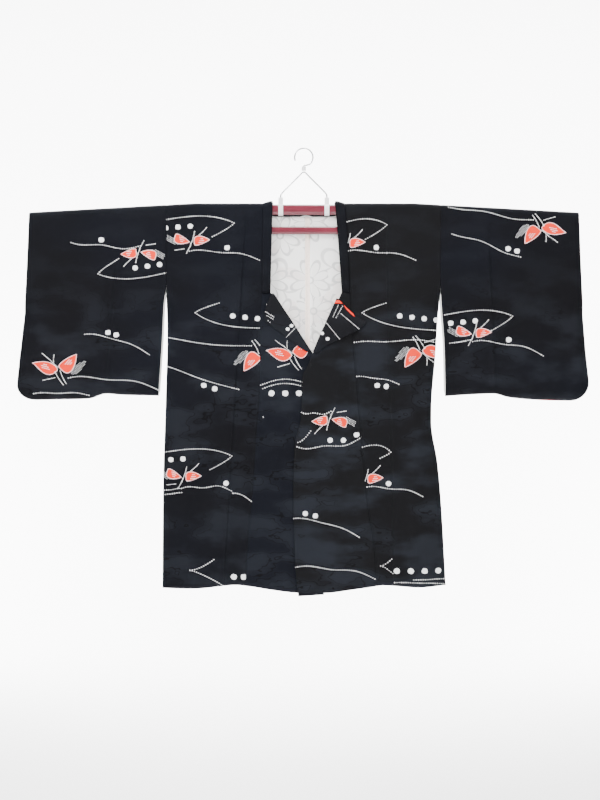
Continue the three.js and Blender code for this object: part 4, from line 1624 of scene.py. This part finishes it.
@dataclass
class BackLining:
    """One half of the back lining, just inside the back, with the strip at the centre."""

    cloth: Cloth
    half: Half
    inward: float = 2.4
    top: float = 32.5
    short: float = 22.0
    side_gap: float = 88.0
    strip: tuple[float, float] = (3.0, 14.5)
    strip_run: tuple[float, float] = (20.0, 960.0)

    def build(self, finishes: Finishes) -> bpy.types.Object:
        """Make the lining half.

        Args:
            finishes: the materials.

        Returns:
            The piece.
        """
        c, sign = self.cloth, self.half.value
        cut = c.cut(self.half)
        down = np.linspace(self.top, c.back_hem - self.short, 80)
        side = sign * (cut.side(down) - self.side_gap)
        inner = np.full(80, c.centre - sign * c.overlap / 2)
        edges = [np.stack([x, c.run(x, down)], 1) for x in (inner, side)]
        outline = resampled(np.concatenate([edges[0], edges[1][::-1], edges[0][:1]]), 11)[:-1]
        prints = []
        if self.half is Half.LEFT:
            low, high = self.strip
            top, foot = self.strip_run
            corners = [(low, top), (high, top), (high, foot), (low, foot)]
            prints.append(Print(np.array(corners, float), Ink.WHITE, 1))
        name = f"lining_{self.half.name.lower()}"
        sheet = Sheet(
            f"cloth_{name}", outline, self.place, prints, thickness=0.7, proud=0.0, roll=0.3, slots=0,
        )
        piece = sheet.build([finishes.lining, finishes.strip])
        size, area = sheet.cut_size()
        declare(size, area, [])
        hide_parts(name)
        return piece

    def place(self, flat: Points, proud: Points) -> Points:
        """Return points just inside the back, eased into slow ripples."""
        x, run = flat.T
        ripple = 0.35 * np.sin(x / 17 + run / 90) + 0.3 * np.sin(run / 34 + 1.3)
        seam = 0.7 * np.exp(-(((x - self.strip[1]) / 2.2) ** 2))
        out = -self.inward + 0.5 + np.asarray(proud) * 0.5 + ripple * 0.5 - seam * 0.4
        return self.cloth.seat(x, run, out)


@dataclass
class Facing:
    """The doubled strip inside the lapped front edge, which reaches below the hem."""

    cloth: Cloth
    panel: FrontPanel
    width: float = 61.0
    top: float = 440.0
    foot: float = 928.0
    slant: float = 4.0
    proud: float = 2.9

    def build(self, finishes: Finishes) -> bpy.types.Object:
        """Make the strip.

        Args:
            finishes: the materials.

        Returns:
            The piece.
        """
        edge = self.panel.free_edge()
        rows = []
        u = np.linspace(0, 1, 7)
        for t in np.linspace(0, 1, 50):
            down = (self.foot - self.slant * u) * (1 - t) + self.top * t
            x = edge(down) + 1 + self.width * u
            rows.append(self.cloth.seat(x, -self.cloth.run(x, down), self.proud))
        piece = grid_piece("cloth_facing_left", rows, [finishes.silk], 0.9 * MM)
        long = (self.foot - self.top) * MM
        declare((self.width * MM, long), self.width * MM * long, [])
        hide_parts("facing_left")
        return piece


@dataclass
class Sleeve:
    """A sleeve: a bag folded over the rod, open along the body and at the cuff.

    The tables give x against down for the inner and outer edges and down against x for the
    foot; the closed edge runs along the foot, round the corner and up to the cuff opening.
    """

    cloth: Cloth
    half: Half
    inner: Edge
    foot: tuple[tuple[float, float], ...]
    outer: tuple[tuple[float, float], ...]
    tip: float
    folds: list[Fold]
    close: float = 26.0
    coral_hem: bool = False

    def closed_edge(self) -> Points:
        """Return the seamed edge from the body to the cuff opening, as x and down."""
        low, high = np.array(self.foot[-1], float), np.array(self.outer[0], float)
        angle = np.linspace(0, math.pi / 2, 9)[1:-1]
        corner_x = low[0] + (high[0] - low[0]) * np.sin(angle)
        corner = np.stack([corner_x, high[1] + (low[1] - high[1]) * np.cos(angle)], 1)
        foot = Edge(list(self.foot))
        xs = np.linspace(self.foot[0][0], low[0], 34)
        return np.concatenate([np.stack([xs, foot(xs)], 1), corner, np.array(self.outer, float)])

    def cuff_edge(self) -> Points:
        """Return the cuff's open edge from the closed edge's end up to the top fold."""
        end = np.array(self.outer[-1], float)
        top = float(self.cloth.shoulder_z - self.cloth.crown(self.tip)) + self.cloth.bend
        t = np.linspace(0, 1, 20)[1:]
        return np.stack([end[0] + (self.tip - end[0]) * t**0.8, end[1] + (top - end[1]) * t], 1)

    def side(self, layer: Layer) -> list[Points]:
        """Return the cut edges of one layer as x and run: inner edge, closed edge and cuff."""
        c, sign = self.cloth, self.half.value
        down = np.linspace(c.bend, self.foot[0][1], 44)
        inner = np.stack([self.inner(down) - c.overlap, down], 1)
        made = []
        for line in (inner, self.closed_edge(), self.cuff_edge()):
            x, depth = resampled(line, 10).T
            made.append(np.stack([sign * x, layer.value * c.run(x, depth)], 1))
        return made

    def outline(self) -> Points:
        """Return the cut of front and back in one, joined at the top fold."""
        c, sign = self.cloth, self.half.value
        front, back = self.side(Layer.FRONT), self.side(Layer.BACK)
        runs = np.linspace(-c.bent + 3, c.bent - 3, 7)
        top_inner = np.stack([np.full(7, sign * (float(self.inner(0)) - c.overlap)), runs], 1)
        top_outer = np.stack([np.full(7, sign * self.tip), runs[::-1]], 1)
        return np.concatenate([
            front[0][::-1], top_inner, back[0], back[1][1:], back[2][1:], top_outer,
            front[2][::-1], front[1][::-1][1:-1],
        ])

    def place(self, flat: Points, proud: Points) -> Points:
        """Return points of the sleeve in metres."""
        c = self.cloth
        x, run = flat.T
        layer = np.where(run < 0, -1, 1)
        angle = np.minimum(np.abs(run), c.bent) / c.bend
        hang = np.maximum(np.abs(run) - c.bent, 0)
        down = c.down(x, run)
        from_edge = distance(np.stack([np.abs(x), down], 1), self.closed_edge(), closed=False)
        near = np.clip(from_edge / self.close, 0, 1)
        gap = (c.bend + c.spread * np.minimum(hang, c.armhole)) * np.sqrt(1 - (1 - near) ** 2)
        folds = sum(fold.at(np.abs(x), hang + c.bend, layer) for fold in self.folds) * near
        out = np.where(hang > 0, np.maximum(gap + folds, 0.0) + proud, (c.bend + proud) * np.sin(angle))
        out = np.maximum(out, 0.25)
        z = c.crown(x) - c.bend * (1 - np.cos(angle)) - hang + proud * np.where(hang > 0, 0, np.cos(angle))
        return np.stack([x, layer * out, z], 1) * MM

    def build(self, printer: Printer, finishes: Finishes) -> bpy.types.Object:
        """Make the sleeve.

        Args:
            printer: makes its prints.
            finishes: the materials.

        Returns:
            The piece.
        """
        node = f"sleeve_{self.half.name.lower()}"
        prints = printer.on(Layout.fronts[node], Layer.FRONT) + printer.on(Layout.backs[node], Layer.BACK)
        if self.coral_hem:
            strip = Wave(524, 462, far=126, drop=4, swell=0)
            line = strip.spread(strip.line(0.0))
            band = np.concatenate([line + (0, 3), line[::-1] + (0, 12)])
            run = -self.cloth.run(band[:, 0], band[:, 1])
            prints.append(Print(np.stack([band[:, 0], run], 1), Ink.CORAL, 3))
        fine = tuple(np.linspace(-self.cloth.bent, self.cloth.bent, 15))
        down = np.linspace(24, 440, 40)
        crease = self.folds[0].top_x + (self.folds[0].foot_x - self.folds[0].top_x) * down / 440
        line = np.stack([self.half.value * crease, -self.cloth.run(crease, down)], 1)
        sheet = Sheet(
            f"cloth_{node}", self.outline(), self.place, prints, pitch=10, fine_rows=fine,
            thickness=1.1, roll=0.5, creases=[line],
        )
        piece = sheet.build(finishes.coat())
        size, area = sheet.cut_size()
        declare(size, area, [f"rod_{self.half.name.lower()}"])
        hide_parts(node)
        return piece

    def build_lining(
        self, finishes: Finishes, show: float = 2.0, depth: float = 28.0, inward: float = 2.6
    ) -> bpy.types.Object:
        """Make the sleeve lining that peeps out along the open inner edge.

        Args:
            finishes: the materials.
            show: how far it peeps out.
            depth: how far it reaches in.
            inward: how far inside the coat cloth it lies.

        Returns:
            The piece.
        """
        c, sign = self.cloth, self.half.value
        foot = self.foot[0][1] - 8
        downs = np.concatenate([np.linspace(c.armhole + 26, foot - 8, 30), [foot - 4, foot - 1]])
        rows = []
        for layer, order in ((Layer.FRONT, downs), (Layer.BACK, downs[::-1])):
            for down in order:
                x = self.inner(down) - show + np.linspace(0, depth, 5)
                flat = np.stack([sign * x, layer.value * c.run(x, np.full(5, down))], 1)
                rows.append(self.place(flat, np.full(5, -inward)))
        name = f"sleeve_lining_{self.half.name.lower()}"
        piece = grid_piece(f"cloth_{name}", rows, [finishes.hem_silk], 0.8 * MM)
        long = 2 * (foot - c.armhole - 26) * MM
        declare((depth * MM, long), depth * MM * long, [])
        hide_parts(name)
        return piece


# Hanger


@dataclass
class Hanger:
    """The two-bar hanger: bars, loop cord, wire bail and hook, on the frame's places."""

    bar_half: float = 230.0
    bar_tall: float = 25.0
    bar_deep: float = 15.0
    lower_half: float = 172.0
    lower_tall: float = 18.0
    lower_deep: float = 10.0
    wire: float = 1.75
    bar_edge: float = 2.6
    hook_radius: float = 20.0
    loop_cord: float = 1.2
    loop_rise: float = 4.0
    loop_sink: float = 4.0

    def centre_z(self, node: str) -> float:
        """Return the height of a node's middle in millimetres."""
        low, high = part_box(node)
        return (low[2] + high[2]) / 2 / MM

    def bar(self, node: str, half: float, tall: float, deep: float, finishes: Finishes) -> bpy.types.Object:
        """Make an oval bar with softly domed ends.

        Args:
            node: the solid that it replaces.
            half: half its length.
            tall: its height.
            deep: its depth.
            finishes: the materials.

        Returns:
            The piece.
        """
        turn = np.arange(56) * math.tau / 56
        z = self.centre_z(node)
        rows = []
        edge = self.bar_edge
        near_end = [half - e for e in (0.0, 0.4, 1.3, edge)]
        middle = np.linspace(-half + 6, half - 6, 40)
        for x in [*(-e for e in near_end), *middle, *reversed(near_end)]:
            shrink = max(0.0, edge - (half - abs(x)))
            inset = edge - math.sqrt(max(edge**2 - shrink**2, 0))
            oval = np.stack([
                np.full(56, x),
                np.sign(np.cos(turn)) * np.abs(np.cos(turn)) ** 0.92 * (deep / 2 - inset),
                z + np.sin(turn) * (tall / 2 - inset),
            ], 1)
            rows.append(oval * MM)
        piece = grid_piece(f"hanger_{node}", rows, [finishes.maroon], 0, ring=True)
        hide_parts(node)
        return piece

    def tube(
        self, name: str, node: str, line: list[Vector], radius: float, material: bpy.types.Material,
    ) -> bpy.types.Object:
        """Make a round wire along a smooth line.

        Args:
            name: the piece's name.
            node: the solid that it replaces.
            line: points in millimetres.
            radius: of the wire.
            material: its finish.

        Returns:
            The piece.
        """
        points = np.array([tuple(p) for p in line]) * MM
        for _ in range(3):
            quarter = np.empty((2 * len(points) - 2, 3))
            quarter[0::2] = points[:-1] * 0.75 + points[1:] * 0.25
            quarter[1::2] = points[:-1] * 0.25 + points[1:] * 0.75
            points = np.concatenate([points[:1], quarter, points[-1:]])
        tangent = np.gradient(points, axis=0)
        tangent /= np.linalg.norm(tangent, axis=1)[:, None]
        side = np.array([0.0, 1.0, 0.0])
        turn = np.arange(20) * math.tau / 20
        rows = []
        for p, t in zip(points, tangent, strict=True):
            up = np.cross(side, t)
            rows.append(p + radius * MM * (np.cos(turn)[:, None] * side + np.sin(turn)[:, None] * up))
        piece = grid_piece(name, rows, [material], 0, ring=True)
        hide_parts(node)
        return piece

    def build(self, finishes: Finishes) -> list[bpy.types.Object]:
        """Make the hanger's visible pieces and dress the solids that stay.

        Args:
            finishes: the materials.

        Returns:
            The pieces.
        """
        made = [
            self.bar("upper_bar", self.bar_half, self.bar_tall, self.bar_deep, finishes),
            self.bar("lower_bar", self.lower_half, self.lower_tall, self.lower_deep, finishes),
        ]
        low, high = (np.array(v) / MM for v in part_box("bail_wire"))
        reach = float(high[0]) - self.wire
        foot, peak = float(low[2]), float(high[2]) - self.wire
        bail = [
            (-reach, foot), (-reach, foot + 6), (-reach + 4, foot + 12), (-8, peak - 7), (-3.5, peak - 1.2),
            (3.5, peak - 1.2), (8, peak - 7), (reach - 4, foot + 12), (reach, foot + 6), (reach, foot),
        ]
        line = [Vector((x, 0, z)) for x, z in bail]
        made.append(self.tube("hanger_bail", "bail_wire", line, self.wire, finishes.wire))
        radius = self.hook_radius + self.wire
        centre = self.wire - radius
        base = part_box("hook")[0][2] / MM
        stem = [Vector((0, 0, base)), Vector((0.3, 0, base + 2))]
        arc = [
            Vector((radius * math.cos(a), 0, centre + radius * math.sin(a)))
            for a in np.linspace(-0.9, 3.5, 22)
        ]
        made.append(self.tube("hanger_hook", "hook", stem + arc, self.wire, finishes.wire))
        low, high = (np.array(v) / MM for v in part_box("hanging_loop"))
        y = float(low[1] + high[1]) / 2
        xs = np.linspace(float(low[0]) + 1, float(high[0]) - 1, 9)
        mid = (xs[0] + xs[-1]) / 2
        # The solid stands higher than the photo's cord, so this one is let down by loop_sink
        foot = float(low[2]) + self.loop_cord - self.loop_sink
        bow = self.loop_rise * (1 - ((xs - mid) / (xs[-1] - mid)) ** 2)
        loop = [Vector((x, y, foot + up)) for x, up in zip(xs, bow, strict=True)]
        made.append(self.tube("back_loop", "hanging_loop", loop, self.loop_cord, finishes.cord))
        kept = {"maroon": ["rod", "rod_cap", "bracket"], "white_plastic": ["bail_band"]}
        for finish, stems in kept.items():
            for stem_name in stems:
                for label in ("right", "left"):
                    self.dress(f"{stem_name}_{label}", getattr(finishes, finish))
        self.dress("hook_collar", finishes.white_plastic)
        return made

    def dress(self, node: str, material: bpy.types.Material) -> None:
        """Give a kept solid its finish.

        Args:
            node: the solid's name.
            material: its finish.
        """
        for slot in bpy.data.objects[node].material_slots:
            slot.material = material


# Studio


@dataclass
class Studio:
    """Plain pale floor and backdrop, soft lights and the camera at the photo's angle.

    The camera's frame is as wide and high at the coat as the photo's, and its middle lies
    where the photo's middle does.
    """

    frame_high: float = 1.887
    centre_x: float = -0.009
    centre_z: float = -0.595
    away: float = 4.2
    coat_front: float = -0.02
    floor_z: float = -1.72
    wall_y: float = 7.0
    wall_bend: float = 3.2
    sensor: float = 36.0

    def build(self, finishes: Finishes) -> None:
        """Make the stage, lights and camera.

        Args:
            finishes: the materials.
        """
        self.sweep(finishes.paper)
        self.area("key", (-1.5, -1.7, 1.5), 0.9, 130.0)
        self.area("fill", (2.0, -2.9, -0.1), 2.4, 52.0)
        self.area("front", (0.1, -1.7, 0.1), 0.5, 16.0, aim=(0, 0, -0.33), mirrored=False)
        self.area("top", (0.4, -0.5, 1.9), 0.9, 60.0)
        for side in (-1, 1):
            self.area(f"wall_{side}", (3.2 * side, 3.4, 0.6), 2.4, 1050.0, aim=(0.4 * side, 7.0, -0.2))
        self.area("far_floor", (0.0, 3.0, 3.6), 3.0, 1050.0, aim=(0, 3.6, -1.7))
        self.world(0.85)
        self.camera()

    def sweep(self, paper: bpy.types.Material) -> None:
        """Make floor and wall in one curved sheet.

        Args:
            paper: its finish.
        """
        bend = self.wall_bend
        profile = [(-7.0, self.floor_z)]
        for a in np.linspace(0, math.pi / 2, 32):
            y = self.wall_y - bend + bend * math.sin(a)
            profile.append((y, self.floor_z + bend * (1 - math.cos(a))))
        profile.append((self.wall_y, 6.0))
        rows = [np.array([[x, y, z] for x in (-9.0, 9.0)]) for y, z in profile]
        points = np.concatenate(rows)
        faces = [(2 * i, 2 * i + 1, 2 * i + 3, 2 * i + 2) for i in range(len(rows) - 1)]
        mesh = bpy.data.meshes.new("backdrop")
        mesh.from_pydata([tuple(p) for p in points], [], faces)
        mesh.materials.append(paper)
        mesh.polygons.foreach_set("use_smooth", [True] * len(faces))
        sweep = bpy.data.objects.new("backdrop", mesh)
        bpy.context.collection.objects.link(sweep)

    def area(
        self, name: str, at: tuple, size: float, power: float, aim: tuple = (0, 0, -0.55),
        mirrored: bool = True,
    ) -> None:
        """Add a soft square light.

        Args:
            name: its name.
            at: its place.
            size: its side.
            power: in watts.
            aim: what it points at.
            mirrored: whether glossy things mirror it.
        """
        data = bpy.data.lights.new(name, "AREA")
        data.size = size
        data.energy = power
        light = bpy.data.objects.new(name, data)
        light.location = at
        light.visible_camera = False
        light.visible_glossy = mirrored
        light.rotation_euler = (Vector(aim) - Vector(at)).to_track_quat("-Z", "Y").to_euler()
        bpy.context.collection.objects.link(light)

    def world(self, strength: float) -> None:
        """Set an even pale surround.

        Args:
            strength: its brightness.
        """
        world = bpy.data.worlds.new("surround")
        world.use_nodes = True
        back = world.node_tree.nodes["Background"]
        back.inputs["Color"].default_value = (1.0, 1.0, 1.0, 1.0)
        back.inputs["Strength"].default_value = strength
        bpy.context.scene.world = world

    def camera(self) -> None:
        """Add the camera, straight in front of the coat."""
        data = bpy.data.cameras.new("camera")
        data.sensor_width = self.sensor
        data.lens = self.sensor * self.away / self.frame_high
        data.clip_end = 50
        made = bpy.data.objects.new("camera", data)
        made.location = (self.centre_x, self.coat_front - self.away, self.centre_z)
        made.rotation_euler = (math.pi / 2, 0, 0)
        bpy.context.collection.objects.link(made)
        bpy.context.scene.camera = made


def lapels(cloth: Cloth, right: FrontPanel, left: FrontPanel) -> list[Lapel]:
    """Return the two turned-out corners.

    Args:
        cloth: how the coat hangs.
        right: the under front.
        left: the lapped front.
    """
    right_rows = (
        (-73, 214, -78, 217), (-68, 220, -88, 242), (-60, 232, -92, 262), (-49, 249, -93, 275),
        (-39, 264, -78, 291), (-29, 279, -59, 305), (-10, 309, -33, 324), (8, 337, -5, 345),
        (16, 349, 9, 353),
    )
    left_rows = (
        (78, 226, 85, 231), (73, 237, 100, 247), (62, 261, 127, 270), (55, 277, 147, 282),
        (47, 295, 128, 301), (38, 314, 90, 320), (29, 336, 50, 341), (22, 353, 31, 356),
    )
    right_spots = [
        (-90, 258, -71, 270), (-87, 267, -73, 275), (-84, 279, -80, 283), (-20, 296, -41, 318),
        (-29, 291, -29, 291), (-38, 299, -38, 299),
    ]
    left_spots = [
        (81, 243, 69, 270), (91, 245, 76, 272), (88, 263, 130, 298), (52, 283, 84, 322),
        (56, 322, 56, 322), (43, 309, 43, 309),
    ]
    leaf_end = (
        ((68, 240), (73, 230), (84, 231), (93, 238), (88, 239), (76, 238)),
        ((94, 242), (104, 247), (117, 262), (120, 270), (110, 262), (100, 252)),
    )
    return [
        Lapel(cloth, right, right_rows, right_spots),
        Lapel(cloth, left, left_rows, left_spots, leaf_end),
    ]


def sleeves(cloth: Cloth) -> list[Sleeve]:
    """Return the two sleeves.

    Args:
        cloth: how the coat hangs.
    """
    f, b = Layer.FRONT, Layer.BACK
    return [
        Sleeve(
            cloth, Half.RIGHT,
            Edge([(0, 325), (192, 325), (240, 331), (322, 335), (460, 344)]),
            ((344, 456), (429, 454), (469, 451), (509, 463), (636, 466)),
            ((680, 431), (674, 372), (660, 252)), 650.0,
            [
                Fold(f, 429, 469, 25, 440, 6, 2.4), Fold(f, 440, 482, 60, 440, 9, -2.0),
                Fold(f, 560, 590, 80, 430, 24, 1.8), Fold(f, 380, 392, 150, 440, 14, -1.4),
                Fold(b, 470, 500, 40, 440, 14, 2.4), Fold(b, 400, 410, 120, 440, 20, -2.0),
                Fold(b, 590, 610, 90, 430, 18, -1.6),
            ],
        ),
        Sleeve(
            cloth, Half.LEFT,
            Edge([(0, 325), (190, 323), (263, 327), (332, 332), (460, 335)]),
            ((335, 457), (397, 453), (451, 451), (486, 460), (578, 467), (632, 468)),
            ((676, 424), (668, 353), (660, 252)), 651.0,
            [
                Fold(f, 432, 451, 25, 440, 6, 2.4), Fold(f, 443, 464, 60, 440, 9, -1.8),
                Fold(f, 540, 572, 70, 430, 22, 2.0), Fold(f, 600, 618, 160, 430, 12, -1.4),
                Fold(b, 450, 470, 40, 440, 16, -2.2), Fold(b, 390, 398, 110, 440, 16, 2.0),
                Fold(b, 560, 590, 90, 430, 20, 2.0),
            ],
            coral_hem=True,
        ),
    ]


def main() -> None:
    """Build every piece in order and report it."""
    logging.basicConfig(level=logging.INFO, format="%(message)s")
    finishes = Finishes()
    cloth = Cloth()
    printer = Printer(cloth)
    panels = {half: FrontPanel(cloth, half) for half in Half}
    made = [Body(cloth, half).build(printer, finishes) for half in Half]
    made += [panels[half].build(printer, finishes) for half in Half]
    rng = random.Random(5)
    made += [lapel.build(finishes, rng) for lapel in lapels(cloth, panels[Half.RIGHT], panels[Half.LEFT])]
    made.append(NeckBand(cloth).build(finishes))
    made.append(Facing(cloth, panels[Half.LEFT]).build(finishes))
    made += [BackLining(cloth, half).build(finishes) for half in Half]
    for sleeve in sleeves(cloth):
        made.append(sleeve.build(printer, finishes))
        made.append(sleeve.build_lining(finishes))
    made += Hanger().build(finishes)
    for piece in made:
        LOG.info("%s: %d faces", piece.name, len(piece.data.polygons))
    Studio().build(finishes)


if __name__ == "__main__":
    main()
